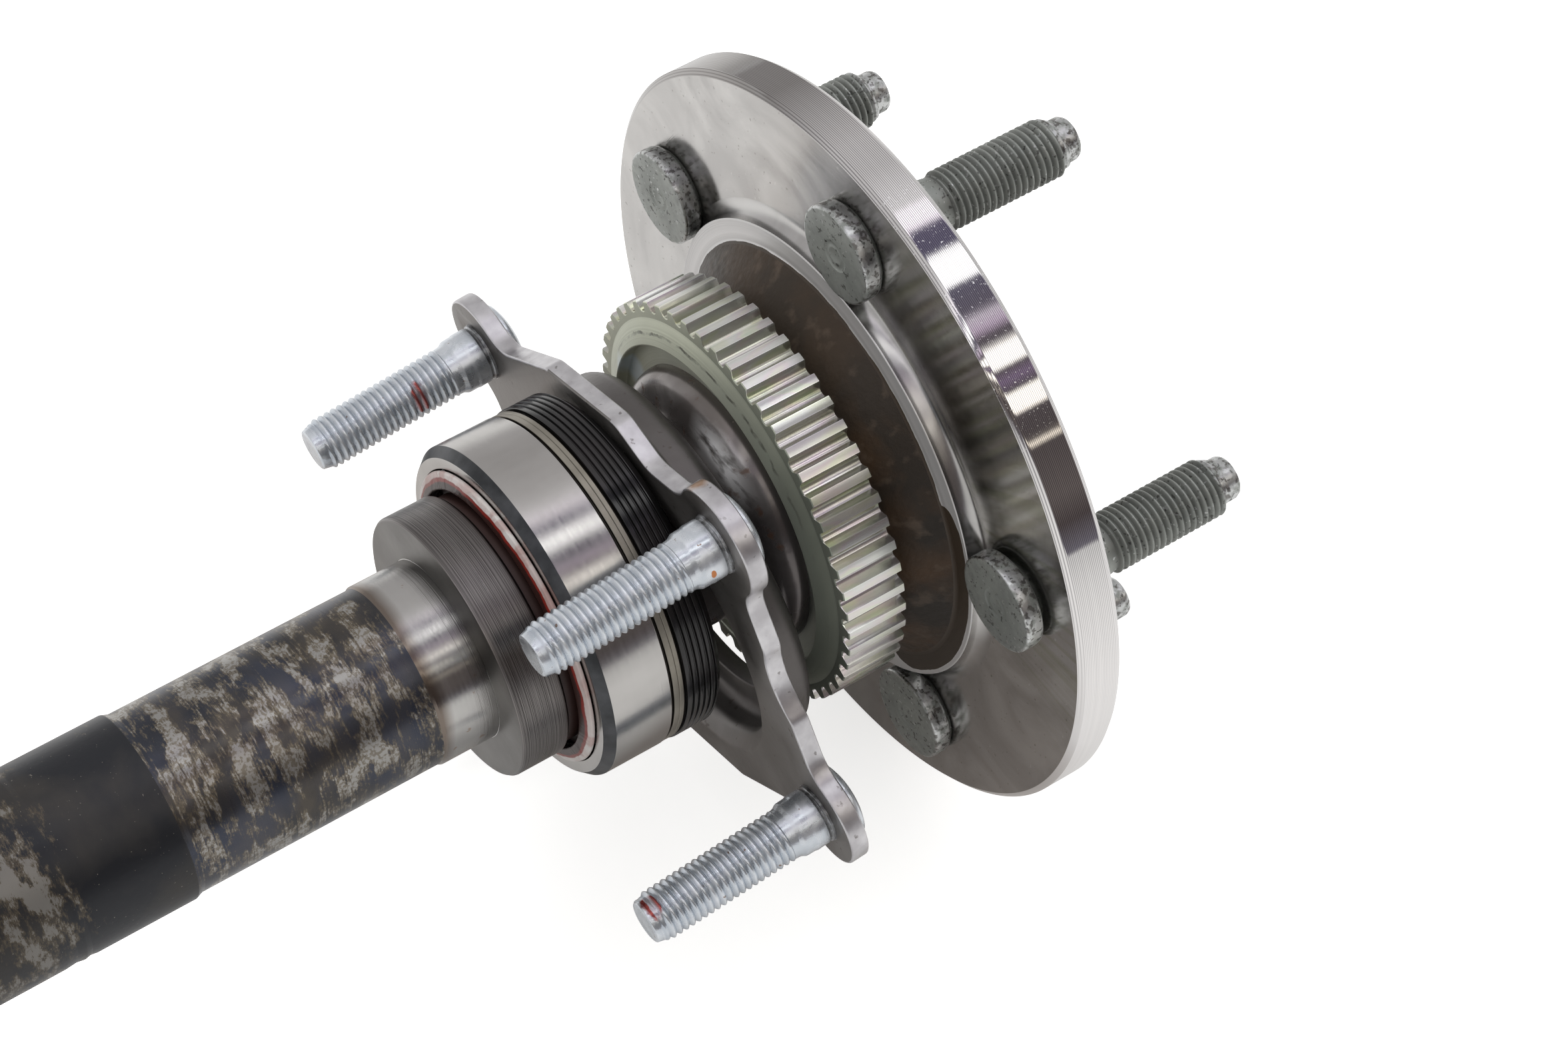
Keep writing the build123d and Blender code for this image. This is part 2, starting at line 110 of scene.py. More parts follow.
# The surround, by the direction's angle about the axle: the table's white below, a dark room at the
# horizon, and lamps overhead. Only glossy rays see the lamps, so the metals get their bands.
world = bpy.data.worlds.new("studio_surround")
bpy.context.scene.world = world
world.use_nodes = True
tree = world.node_tree
tree.nodes.clear()
direction = add_node(tree, "ShaderNodeTexCoord").outputs["Generated"]
sides = add_step("ShaderNodeSeparateXYZ", {0: direction})
round_angle = math_node("ARCTAN2", sides.outputs["Z"], sides.outputs["X"])
turn_share = linear(round_angle, 0.5 / math.pi, 0.5)
SURROUND = [
    (-180, (0.7, 0.7, 0.7)), (-2.5, (0.7, 0.69, 0.68)), (-1.5, (0.17, 0.16, 0.19)),
    (7, (0.085, 0.07, 0.07)), (15, (0.14, 0.12, 0.115)), (29.6, (0.1, 0.085, 0.085)),
    (30.4, (1.1, 1.0, 0.85)), (31.6, (1.1, 1.0, 0.85)), (32.4, (0.1, 0.085, 0.085)),
    (39.6, (0.1, 0.085, 0.09)), (40.6, (1.7, 1.6, 1.45)), (45.0, (1.7, 1.65, 1.5)),
    (46.0, (0.11, 0.095, 0.105)), (49.3, (0.24, 0.18, 0.27)), (52.4, (0.11, 0.095, 0.1)),
    (53.4, (1.8, 1.75, 1.65)), (58.4, (1.8, 1.75, 1.65)), (59.4, (0.13, 0.115, 0.13)),
    (62.4, (0.14, 0.12, 0.14)), (64.0, (0.6, 0.48, 0.62)), (67.5, (0.66, 0.6, 0.68)),
    (69.5, (0.15, 0.135, 0.17)), (77.4, (0.15, 0.14, 0.19)), (78.3, (2.0, 2.0, 2.0)),
    (86.9, (2.0, 2.0, 2.0)), (87.9, (0.13, 0.12, 0.18)), (95.9, (0.15, 0.135, 0.2)),
    (97.2, (1.3, 1.22, 1.32)), (102.6, (1.25, 1.2, 1.27)), (104.0, (0.84, 0.83, 0.84)),
    (118.0, (0.6, 0.59, 0.59)), (180, (0.5, 0.49, 0.49)),
]
surround = ramp_node(turn_share, [
    ((angle + 180) / 360, tuple(level / 2 for level in colour)) for angle, colour in SURROUND
])
seen = add_node(tree, "ShaderNodeLightPath")
plain_light = add_node(tree, "ShaderNodeBackground", {"Color": (1.0, 1.0, 1.0, 1.0), "Strength": 0.85})
between_parts = math_node("GREATER_THAN", seen.outputs["Glossy Depth"], 1.5)
lamps_level = linear(between_parts, -1.2, 2.0)
lamps_light = add_node(tree, "ShaderNodeBackground", {"Color": surround, "Strength": lamps_level})
white_light = add_node(tree, "ShaderNodeBackground", {"Color": (1.0, 1.0, 1.0, 1.0), "Strength": 1.0})
shown = plain_light.outputs[0]
for ray, light in (("Is Glossy Ray", lamps_light), ("Is Camera Ray", white_light)):
    inputs = {0: seen.outputs[ray], 1: shown, 2: light.outputs[0]}
    shown = add_step("ShaderNodeMixShader", inputs).outputs[0]
add_step("ShaderNodeOutputWorld", {"Surface": shown})


def times(first, second):
    """Two values multiplied."""
    return math_node("MULTIPLY", first, second)


def share(value, none_at, all_at):
    """How far a value has come from one level to another, from 0 to 1."""
    made = add_step("ShaderNodeMapRange", {"Value": value, "From Min": none_at, "From Max": all_at})
    return made.outputs["Result"]


def vector_node(operation, first, second=(0.0, 0.0, 0.0)):
    """The outputs of one vector step."""
    return add_step("ShaderNodeVectorMath", {0: first, 1: second}, operation=operation).outputs


# The table, which the camera sees a little brighter than lit. In reflections its colour is painted darker
# under the hub, as painted shade.
TABLE_GAP = 0.0004
TABLE_WHITE = (0.8, 0.795, 0.785)
bpy.ops.object.select_all(action="DESELECT")
bpy.ops.mesh.primitive_grid_add(
    x_subdivisions=4, y_subdivisions=4, size=6.0, location=(0, 0, cad_low[2] - TABLE_GAP)
)
table = bpy.context.object
table.name = "studio_table"
table_paint = bpy.data.materials.new("table_white")
table_paint.use_nodes = True
tree = table_paint.node_tree
shader = tree.nodes["Principled BSDF"]
shader.inputs["Base Color"].default_value = (*TABLE_WHITE, 1.0)
shader.inputs["Roughness"].default_value = 0.9
shader.inputs["Specular IOR Level"].default_value = 0.0
shader.inputs["Emission Color"].default_value = (1.0, 0.995, 0.985, 1.0)
seen = add_node(tree, "ShaderNodeLightPath")
lifted = times(seen.outputs["Is Camera Ray"], 0.61)
tree.links.new(lifted, shader.inputs["Emission Strength"])
# Painted shade: in reflections the table's colour is darker under the hub
under_hub = add_node(tree, "ShaderNodeMapping", {
    "Vector": add_node(tree, "ShaderNodeTexCoord").outputs["Object"], "Location": (-0.028, -0.062, 0),
    "Rotation": (0, 0, math.radians(25.5)), "Scale": (0.088, 0.032, 1),
}, vector_type="TEXTURE")
away = vector_node("LENGTH", under_hub.outputs["Vector"])["Value"]
shade = times(share(away, 1.75, 1.0), seen.outputs["Is Glossy Ray"])
shaded = ramp_node(shade, [(0.0, TABLE_WHITE), (1.0, (0.5, 0.46, 0.43))])
tree.links.new(shaded, shader.inputs["Base Color"])
table.data.materials.append(table_paint)

lamp = bpy.data.objects.new("overhead_lamp", bpy.data.lights.new("overhead_lamp", "AREA"))
bpy.context.scene.collection.objects.link(lamp)
lamp.data.shape = "RECTANGLE"
lamp.data.size = 0.9
lamp.data.size_y = 0.6
lamp.data.energy = 5.0
lamp.visible_glossy = False
lamp.location = (-0.35, 0.15, 0.95)
lamp.rotation_euler = (Vector((0, -0.03, 0)) - lamp.location).to_track_quat("-Z", "Y").to_euler()


# Forging: flange, hub and shaft are one piece of forged steel. Flange, lip, seat and collar band are
# turned bright, and the hub, neck and long shaft keep their dark skin and heat scale.
def rounded(outline):
    """Points of an outline in mm, where (radius, y, round) stands for a corner rounded by an arc."""
    points = []
    count = len(outline)
    for index, corner in enumerate(outline):
        here = Vector(corner[:2])
        if len(corner) == 2:
            points.append(here)
            continue
        before = (Vector(outline[index - 1][:2]) - here).normalized()
        after = (Vector(outline[(index + 1) % count][:2]) - here).normalized()
        half = before.angle(after) / 2
        reach = corner[2] / math.tan(half)
        centre = here + (before + after).normalized() * (corner[2] / math.sin(half))
        start = here + before * reach - centre
        end = here + after * reach - centre
        for step in range(7):
            points.append(centre + start.slerp(end, step / 6).normalized() * corner[2])
    return points


def closed_outline(name, points):
    """A piece that is one ring of edges through points in mm, in the plane of X and Y."""
    bpy.ops.object.select_all(action="DESELECT")
    bpy.ops.mesh.primitive_circle_add(vertices=len(points), radius=0.01, fill_type="NOTHING")
    piece = bpy.context.object
    piece.name = name
    piece.data.name = name
    for vertex, (x, y) in zip(piece.data.vertices, points):
        vertex.co = (x / 1000, y / 1000, 0)
    return piece


def turned_piece(name, outline, steps):
    """Spin an outline in mm about the axle's Y axis into one closed piece."""
    piece = closed_outline(name, rounded(outline))
    bpy.ops.object.mode_set(mode="EDIT")
    bpy.ops.mesh.select_all(action="SELECT")
    bpy.ops.mesh.spin(steps=steps, angle=2 * math.pi, center=(0, 0, 0), axis=(0, 1, 0))
    bpy.ops.mesh.select_all(action="SELECT")
    bpy.ops.mesh.remove_doubles(threshold=2e-6)
    bpy.ops.mesh.delete_loose(use_verts=True, use_edges=True, use_faces=False)
    bpy.ops.mesh.select_all(action="SELECT")
    bpy.ops.mesh.normals_make_consistent(inside=False)
    bpy.ops.object.mode_set(mode="OBJECT")
    return piece


def radius_of(point):
    """Distance from the axle's axis."""
    return math.hypot(point.x, point.z)


def pick(*pieces):
    """Select these pieces alone, with the first one active."""
    bpy.ops.object.select_all(action="DESELECT")
    for piece in pieces:
        piece.select_set(True)
    bpy.context.view_layer.objects.active = pieces[0]


def smooth_over(piece, degrees=32):
    """Smooth shading, apart from edges sharper than the angle."""
    pick(piece)
    bpy.ops.object.shade_smooth_by_angle(angle=math.radians(degrees))


def new_finish(name, colour, metallic, roughness):
    """A material with its Principled shader and its Object coordinates."""
    material = bpy.data.materials.new(name)
    material.use_nodes = True
    shader = material.node_tree.nodes["Principled BSDF"]
    shader.inputs["Base Color"].default_value = (*colour, 1.0)
    shader.inputs["Metallic"].default_value = metallic
    shader.inputs["Roughness"].default_value = roughness
    place = add_node(material.node_tree, "ShaderNodeTexCoord").outputs["Object"]
    return material, shader, place


def feed(shader, tone=None, rough=None, normal=None, metal=None):
    """Link changing values to the shader's inputs."""
    for key, value in (("Base Color", tone), ("Roughness", rough), ("Normal", normal), ("Metallic", metal)):
        if value is not None:
            shader.id_data.links.new(value, shader.inputs[key])


def mixed(factor, first, second):
    """Two colours, plain or from sockets, mixed by a factor."""
    inputs = {0: factor}
    for key, colour in ((6, first), (7, second)):
        inputs[key] = (*colour, 1.0) if isinstance(colour, tuple) else colour
    return add_step("ShaderNodeMix", inputs, data_type="RGBA").outputs[2]


def over(tone, mask, strength, colour):
    """A tone with a colour laid over it where the mask is, at part of full strength."""
    return mixed(times(mask, strength), tone, colour)


def away_from(value, centre):
    """How far a value lies from a centre, either way."""
    return math_node("ABSOLUTE", math_node("ADD", value, -centre))


def noise(vector, scale, detail, roughness=0.5, distortion=0.0):
    """The level of a cloudy noise."""
    return add_step("ShaderNodeTexNoise", {
        "Vector": vector, "Scale": scale, "Detail": detail, "Roughness": roughness, "Distortion": distortion,
    }).outputs["Fac"]


def new_group(name, inputs, outputs):
    """An empty node group with named value or vector inputs, and its two end nodes."""
    group = bpy.data.node_groups.new(name, "ShaderNodeTree")
    for socket, kind, value in inputs:
        made = group.interface.new_socket(socket, in_out="INPUT", socket_type=kind)
        if value is not None:
            made.default_value = value
    for socket in outputs:
        group.interface.new_socket(socket, in_out="OUTPUT", socket_type="NodeSocketFloat")
    return group, group.nodes.new("NodeGroupInput"), group.nodes.new("NodeGroupOutput")


# Shared effect: where a point lies on a turned piece, as its radius, its distance along the axle and
# its angle in degrees round it, from +X towards +Z
axle_place, start, end = new_group(
    "axle_place", [("Vector", "NodeSocketVector", None)], ["Radius", "Along", "Angle"]
)
parts = add_step("ShaderNodeSeparateXYZ", {0: start.outputs["Vector"]})
squares = times(parts.outputs["X"], parts.outputs["X"])
squares = linear(parts.outputs["Z"], parts.outputs["Z"], squares)
axle_place.links.new(math_node("SQRT", squares), end.inputs["Radius"])
axle_place.links.new(parts.outputs["Y"], end.inputs["Along"])
round_angle = math_node("ARCTAN2", parts.outputs["Z"], parts.outputs["X"])
axle_place.links.new(times(round_angle, 180 / math.pi), end.inputs["Angle"])

# Shared effect: tool lines of uneven depth, at a pitch along the radius or along the axle
tool_lines, start, end = new_group(
    "tool_lines",
    [("Travel", "NodeSocketFloat", 0.0), ("Pitch", "NodeSocketFloat", 0.0003)],
    ["Height", "Coarse"],
)
travel = math_node("DIVIDE", start.outputs["Travel"], start.outputs["Pitch"])
fine = add_step("ShaderNodeTexNoise", {"W": travel, "Scale": 1.0, "Detail": 2.0}, noise_dimensions="1D")
broad = add_step("ShaderNodeTexNoise", {"W": times(travel, 0.11), "Scale": 1.0}, noise_dimensions="1D")
tool_lines.links.new(fine.outputs["Fac"], end.inputs["Height"])
tool_lines.links.new(broad.outputs["Fac"], end.inputs["Coarse"])

# Shared effect: patches with ragged edges, from noise that is cut between two levels
ragged_patches, start, end = new_group(
    "ragged_patches",
    [
        ("Vector", "NodeSocketVector", None), ("Scale", "NodeSocketFloat", 50.0),
        ("Detail", "NodeSocketFloat", 5.0), ("Distortion", "NodeSocketFloat", 0.0),
        ("Low", "NodeSocketFloat", 0.45), ("High", "NodeSocketFloat", 0.55),
    ],
    ["Mask"],
)
given = start.outputs
cloud = noise(given["Vector"], given["Scale"], given["Detail"], distortion=given["Distortion"])
ragged_patches.links.new(share(cloud, given["Low"], given["High"]), end.inputs["Mask"])


def use_group(group, **inputs):
    """Place a shared effect in a material with its own values, and give its outputs."""
    return add_step("ShaderNodeGroup", inputs, node_tree=group).outputs


def on_axle(vector):
    """A point's Radius, its distance Along the axle and its Angle in degrees."""
    return use_group(axle_place, Vector=vector)


def tool_marks(travel, pitch):
    """The Height of tool lines and their Coarse changes."""
    return use_group(tool_lines, Travel=travel, Pitch=pitch)


def patches(vector, scale, low, high, detail=5.0, distortion=0.0):
    """A mask of ragged patches."""
    return use_group(
        ragged_patches, Vector=vector, Scale=scale, Low=low, High=high, Detail=detail, Distortion=distortion
    )["Mask"]


def stretched(vector, scale):
    """Coordinates scaled unevenly, so that a pattern runs round the axle or along it."""
    return add_step("ShaderNodeMapping", {"Vector": vector, "Scale": scale}).outputs["Vector"]


def bumped(height, strength, distance):
    """A normal from a height between 0 and 1, which stands for a distance in metres."""
    made = add_step("ShaderNodeBump", {"Height": height, "Strength": strength, "Distance": distance})
    return made.outputs["Normal"]


def brushed(shader, amount):
    """Spread the highlights across tool lines that run round the axle."""
    round_axle = add_node(shader.id_data, "ShaderNodeTangent", direction_type="RADIAL", axis="Y")
    shader.id_data.links.new(round_axle.outputs["Tangent"], shader.inputs["Tangent"])
    shader.inputs["Anisotropic"].default_value = amount
    shader.inputs["Anisotropic Rotation"].default_value = 0.25


# Turned faces of the flange: satin bright steel with close circular tool lines and faint smears, and
# a painted reflection of the green tone ring as dull green streaks on the inboard face's right
turned_face, shader, place = new_finish("flange_turned_face", (0.6, 0.59, 0.575), 1.0, 0.14)
where = on_axle(place)
lines = tool_marks(where["Radius"], 0.00022)
smear = patches(place, 30.0, 0.38, 0.64, 6.0, 2.4)
specks = patches(place, 900.0, 0.7, 0.74, 1.0)
nicks = patches(stretched(place, (1.0, 1.0, 0.4)), 1200.0, 0.74, 0.77, 1.0)
tone = mixed(smear, (0.48, 0.465, 0.455), (0.63, 0.615, 0.6))
# Painted reflection of the green tone ring: dull green streaks on the right of the inboard face
spoke = vector_node("MULTIPLY", place, (1.0, 0.0, 1.0))["Vector"]
spoke = vector_node("NORMALIZE", spoke)["Vector"]
reflected_ring_streaks = patches(spoke, 26.0, 0.46, 0.62, 3.0)
reflected_ring_streaks = times(reflected_ring_streaks, share(away_from(where["Angle"], 18.0), 34.0, 12.0))
reflected_ring_streaks = times(reflected_ring_streaks, math_node("LESS_THAN", where["Along"], -0.005))
tone = over(tone, reflected_ring_streaks, 0.5, (0.3, 0.31, 0.2))
tone = over(tone, specks, 0.6, (0.22, 0.2, 0.18))
tone = over(tone, nicks, 0.35, (0.95, 0.95, 0.93))
rough = linear(smear, 0.06, 0.13)
feed(shader, tone, linear(lines["Coarse"], 0.05, rough), bumped(lines["Height"], 0.1, 0.0001))
brushed(shader, 0.75)

# The fillet between the flange's face and its lip, turned smooth and satin
fillet_satin, shader, place = new_finish("fillet_satin", (0.56, 0.55, 0.54), 1.0, 0.24)
smear = patches(place, 60.0, 0.38, 0.66, 4.0, 0.8)
feed(shader, mixed(smear, (0.46, 0.45, 0.44), (0.62, 0.61, 0.6)), linear(smear, 0.06, 0.21))

# The rim and chamfers, cut with a sharp tool and nearly mirror bright between their grooves, which
# are painted dark as shade and fade low on the rim. It is scuffed on the side near the camera, and its
# top is darkened as painted shade.
RIM_RADIUS = 83.0
RIM_GROOVES = 19
RIM_TOP = -1.25
RIM_WIDTH = 7.5
rim_bright, shader, place = new_finish("flange_rim_bright", (0.72, 0.7, 0.69), 1.0, 0.1)
where = on_axle(place)
lines = tool_marks(where["Along"], 0.00016)
scuffs = patches(place, 2200.0, 0.64, 0.68, 3.0)
front = away_from(where["Angle"], 63.0)
scuffs = times(scuffs, math_node("LESS_THAN", front, 20.0))
# Painted shade: a dark line in each groove, fading out low on the rim
groove_shade = math_node("SUBTRACT", where["Along"], RIM_TOP / 1000)
groove_shade = times(groove_shade, 2000 * math.pi * RIM_GROOVES / RIM_WIDTH)
groove_shade = linear(math_node("COSINE", groove_shade), -0.5, 0.5)
groove_shade = math_node("POWER", groove_shade, 2.5)
groove_shade = times(groove_shade, share(where["Angle"], -5.0, 30.0))
tone = mixed(lines["Coarse"], (0.8, 0.78, 0.78), (0.97, 0.95, 0.94))
tone = over(tone, groove_shade, 0.85, (0.22, 0.21, 0.22))
# Painted shade: the rim's top is darkened
top_shading = share(where["Angle"], 92.0, 108.0)
tone = over(tone, top_shading, 0.72, (0.2, 0.185, 0.175))
tone = mixed(scuffs, tone, (0.9, 0.9, 0.9))
rough = linear(scuffs, 0.3, 0.035)
feed(shader, tone, linear(groove_shade, 0.06, rough), bumped(lines["Height"], 0.06, 0.0001))
brushed(shader, 0.8)

# The hub's forged skin, dark brown with oil and rust tones, whose ragged edge runs over the lip. Its
# upper part is made paler with painted light.
forged_skin, shader, place = new_finish("hub_forged_skin", (0.05, 0.036, 0.024), 0.1, 0.42)
shader.inputs["Specular IOR Level"].default_value = 0.22
where = on_axle(place)
rust = patches(place, 70.0, 0.42, 0.66, 6.0, 0.4)
scraped = patches(stretched(place, (1.0, 0.5, 1.0)), 260.0, 0.56, 0.7, 7.0)
# Painted light: the skin's upper part is paler
top_shading = share(where["Angle"], 25.0, 75.0)
tone = mixed(rust, (0.024, 0.019, 0.015), (0.062, 0.036, 0.02))
tone = over(tone, top_shading, 0.6, (0.05, 0.038, 0.028))
tone = over(tone, scraped, 0.4, (0.13, 0.095, 0.07))
grain = noise(place, 700.0, 5.0)
feed(shader, tone, linear(grain, 0.3, 0.28), bumped(grain, 0.35, 0.0003))

# The lip's face, fine turned, with the dark skin left in a lobe low on the side near the camera
lip_turned, shader, place = new_finish("lip_turned", (0.6, 0.585, 0.575), 0.6, 0.34)
where = on_axle(place)
lines = tool_marks(where["Radius"], 0.00035)
edge_noise = noise(place, 180.0, 6.0)
lobe = away_from(linear(edge_noise, 5.0, where["Angle"]), -10.0)
lobe = math_node("POWER", share(lobe, 42.5, 36.0), 0.35)
dark_edge = linear(lobe, 0.0039, 0.0474)
dark_edge = linear(edge_noise, -0.0008, dark_edge)
dark = share(math_node("SUBTRACT", where["Radius"], dark_edge), 0.00008, 0.0)
bright = mixed(lines["Coarse"], (0.5, 0.49, 0.485), (0.8, 0.785, 0.78))
tone = mixed(dark, bright, (0.045, 0.031, 0.02))
metal = linear(dark, -0.4, 0.55)
feed(shader, tone, linear(dark, 0.14, 0.32), bumped(lines["Height"], 0.35, 0.0001), metal)

# Shoulder and neck: a forged cone rubbed to dark polish, with brown stains. Painted shade darkens it
# next to the tone ring and on its right side, and a painted highlight lays a silver streak across it.
rubbed_neck, shader, place = new_finish("neck_rubbed_dark", (0.3, 0.29, 0.29), 0.6, 0.26)
where = on_axle(place)
rub = patches(stretched(place, (1.0, 0.5, 1.0)), 90.0, 0.4, 0.66, 6.0, 0.7)
stain = patches(place, 210.0, 0.62, 0.7, 4.0)
tone = mixed(rub, (0.2, 0.185, 0.185), (0.55, 0.53, 0.53))
tone = mixed(0.5, tone, (0.15, 0.125, 0.11))
# Painted shade: darker next to the tone ring and on the right side
shade_near_ring = share(where["Along"], -0.0422, -0.0385)
tone = mixed(shade_near_ring, tone, (0.2, 0.18, 0.165))
shaded_right_side = share(math_node("ABSOLUTE", where["Angle"]), 66.0, 42.0)
tone = over(tone, shaded_right_side, 0.7, (0.1, 0.088, 0.09))
# Painted highlight: a bright silver streak across the middle of the shoulder, broken up by noise
painted_highlight_streak = share(away_from(where["Angle"], 72.0), 26.0, 6.0)
middle = share(away_from(where["Radius"], 0.0262), 0.0042, 0.0012)
highlight_breakup = share(noise(stretched(place, (0.35, 1.0, 1.0)), 420.0, 6.0), 0.36, 0.54)
painted_highlight_streak = times(painted_highlight_streak, times(middle, highlight_breakup))
tone = mixed(painted_highlight_streak, tone, (0.95, 0.94, 0.95))
metal = linear(painted_highlight_streak, -0.5, 0.65)
tone = over(tone, stain, 0.7, (0.12, 0.05, 0.022))
feed(shader, tone, linear(stain, 0.3, 0.24), bumped(rub, 0.12, 0.0003), metal)

# Ground seat and band: bright steel with fine lines round the shaft and a few brown flecks
ground_steel, shader, place = new_finish("ground_steel", (0.68, 0.665, 0.65), 1.0, 0.2)
where = on_axle(place)
lines = tool_marks(where["Along"], 0.0001)
flecks = patches(place, 330.0, 0.71, 0.75, 3.0)
haze = patches(place, 60.0, 0.35, 0.7, 4.0)
tone = mixed(haze, (0.42, 0.41, 0.4), (0.55, 0.54, 0.525))
browned = share(linear(haze, -0.0012, where["Along"]), -0.1138, -0.1162)
tone = over(tone, browned, 0.75, (0.12, 0.075, 0.045))
tone = over(tone, flecks, 0.6, (0.25, 0.13, 0.06))
feed(shader, tone, linear(lines["Coarse"], 0.1, 0.12), bumped(lines["Height"], 0.18, 0.0001))
shader.inputs["Anisotropic"].default_value = 0.4

# Heat scale on the turned length: dark oxide with silver patches, straw blotches and a blue sheen,
# in faint rows left by the tool's feed
TOOL_ROW = 0.0086
heat_scale, shader, place = new_finish("heat_scale", (0.07, 0.062, 0.06), 0.8, 0.34)
where = on_axle(place)
lines = tool_marks(where["Along"], 0.00045)
rows = math_node("COSINE", times(where["Along"], 2 * math.pi / TOOL_ROW))
banded = stretched(place, (0.7, 1.3, 0.7))
oxide = noise(banded, 150.0, 12.0, roughness=0.74, distortion=0.2)
hatched = linear(lines["Height"], 0.13, math_node("ADD", oxide, -0.027))
hatched = linear(rows, 0.022, hatched)
blue = patches(place, 46.0, 0.4, 0.6, 3.0, 0.8)
brown = patches(banded, 85.0, 0.4, 0.6, 6.0)
tone = mixed(brown, (0.04, 0.041, 0.047), (0.085, 0.075, 0.065))
tone = over(tone, blue, 0.5, (0.07, 0.08, 0.115))
halo = share(hatched, 0.52, 0.575)
tone = over(tone, halo, 0.75, (0.2, 0.165, 0.115))
bare = share(hatched, 0.57, 0.6)
pinholes = patches(place, 1300.0, 0.5, 0.58, 3.0)
bare = times(bare, linear(pinholes, -0.75, 1.0))
tone = mixed(bare, tone, (0.33, 0.32, 0.305))
feed(shader, tone, linear(lines["Coarse"], 0.12, 0.22), bumped(lines["Height"], 0.3, 0.0001))

# Black scale on the long forged length: blue-black, with brown bloom and bare specks near ring marks
RING_MARKS_AT = -0.2035
black_scale, shader, place = new_finish("black_scale", (0.016, 0.017, 0.02), 0.4, 0.42)
where = on_axle(place)
bloom = patches(place, 34.0, 0.5, 0.75, 6.0, 0.4)
dust = patches(place, 1500.0, 0.74, 0.78, 1.0)
lines = tool_marks(where["Along"], 0.0003)
far_from_marks = add_step("ShaderNodeMapRange", {
    "Value": away_from(where["Along"], RING_MARKS_AT), "From Min": 0.016, "From Max": 0.004,
    "To Min": -0.2, "To Max": 0.0,
}).outputs["Result"]
oxide = noise(stretched(place, (0.7, 1.4, 0.7)), 160.0, 12.0, roughness=0.74)
oxide = linear(lines["Height"], 0.05, math_node("ADD", oxide, far_from_marks))
halo = share(oxide, 0.47, 0.53)
bare = share(oxide, 0.53, 0.57)
tone = mixed(bloom, (0.015, 0.016, 0.02), (0.05, 0.044, 0.038))
tone = over(tone, halo, 0.7, (0.1, 0.078, 0.05))
tone = over(tone, bare, 0.8, (0.19, 0.182, 0.17))
tone = over(tone, dust, 0.6, (0.22, 0.2, 0.17))
rough = linear(bloom, 0.16, 0.36)
grain = noise(place, 600.0, 4.0)
feed(shader, tone, rough, bumped(grain, 0.2, 0.0002))

# The outline runs from the wheel face's centre round the flange and down the shaft. Each finish then
# takes the faces down to its end along the axle, after the rim, the fillet and the lip have theirs.
RIM_GROOVE_DEPTH = 0.04
rim_points = []
for groove in range(RIM_GROOVES):
    middle = RIM_TOP - RIM_WIDTH * (groove + 0.5) / RIM_GROOVES
    rim_points += [(RIM_RADIUS, middle + 0.1), (RIM_RADIUS - RIM_GROOVE_DEPTH, middle)]
forging = turned_piece("axle_forging", [
    (0, -9.0), (4.5, -2.0), (22.05, -2.0, 0.8), (25.0, 9.0, 1.0), (34.2, 9.0, 0.8), (35.7, 7.5, 0.5),
    (35.7, 0, 0.3), (82.2, 0, 0.15), (RIM_RADIUS, -1.1, 0.1), *rim_points, (RIM_RADIUS, -8.9, 0.1),
    (81.7, -9.9, 0.15), (52.0, -9.9, 3.06), (52.0, -13.5, 0.3), (47.0, -13.5, 1.6), (36.5, -24.4),
    (31.0, -24.4), (31.0, -42.3, 5.0), (21.0, -44.96, 3.0), (21.0, -63.26, 0.3), (19.84, -63.26),
    (19.84, -103.9), (19.7, -103.95), (19.7, -115.6, 0.3), (19.3, -116.3, 0.3), (19.3, -169.4, 0.5),
    (19.9, -171.0, 0.8), (19.9, -192.2, 1.0), (19.68, -193.6, 0.8), (19.95, -194.9, 0.6),
    (19.66, -196.6, 0.8), (19.87, -199.0, 1.0), (19.9, -204.0), (19.9, -300.0), (19.9, -470.0),
    (19.9, -639.9, 8.0), (15.2, -699.9, 8.0), (15.2, -726.4), (0, -726.4),
], 288)
FLANGE_BACK = -9.95
LIP_FACE = -13.3
finishes = [
    turned_face, rim_bright, forged_skin, lip_turned, rubbed_neck, ground_steel, heat_scale, black_scale,
    fillet_satin,
]
finish_ends = (
    (LIP_FACE, turned_face), (-24.5, forged_skin), (-63.3, rubbed_neck), (-116.2, ground_steel),
    (-170.6, heat_scale), (-math.inf, black_scale),
)
for material in finishes:
    forging.data.materials.append(material)
for face in forging.data.polygons:
    y = face.center.y * 1000
    radius = radius_of(face.center) * 1000
    if radius > 81.6 and FLANGE_BACK < y < 0.05:
        finish = rim_bright
    elif radius < 55.0 and LIP_FACE < y < FLANGE_BACK:
        finish = fillet_satin
    elif radius > 46.0 and y <= LIP_FACE:
        finish = lip_turned
    else:
        finish = next(material for end, material in finish_ends if y > end)
    face.material_index = finishes.index(finish)
smooth_over(forging)

# Splined end: the bare end of the same forging, with thirty straight teeth cut in it that slide into
# the side gear. Both ends of the teeth are chamfered.
SPLINE_TEETH = 30
SPLINE_STEPS = 12
SPLINE_DEPTH = 0.0013
SPLINE_BARREL = 0.0152
spline = turned_piece("splined_end", [
    (0, -726.0), (15.2, -726.0), (16.65, -727.5), (16.65, -804.4), (15.15, -805.9), (4.5, -805.9),
    (0, -798.9),
], SPLINE_TEETH * SPLINE_STEPS)
for vertex in spline.data.vertices:
    radius = radius_of(vertex.co)
    if radius < SPLINE_BARREL:
        continue
    phase = (math.atan2(vertex.co.z, vertex.co.x) / (2 * math.pi) * SPLINE_TEETH) % 1.0
    depth = min(max(abs(phase - 0.5) * 2 - 0.36, 0.0) / 0.26, 1.0)
    shrink = (radius - SPLINE_DEPTH * depth) / radius
    vertex.co.x *= shrink
    vertex.co.z *= shrink
spline.data.materials.append(ground_steel)
smooth_over(spline)
for piece in (forging, spline):
    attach(piece, "shaft")
    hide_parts("axle_shaft")

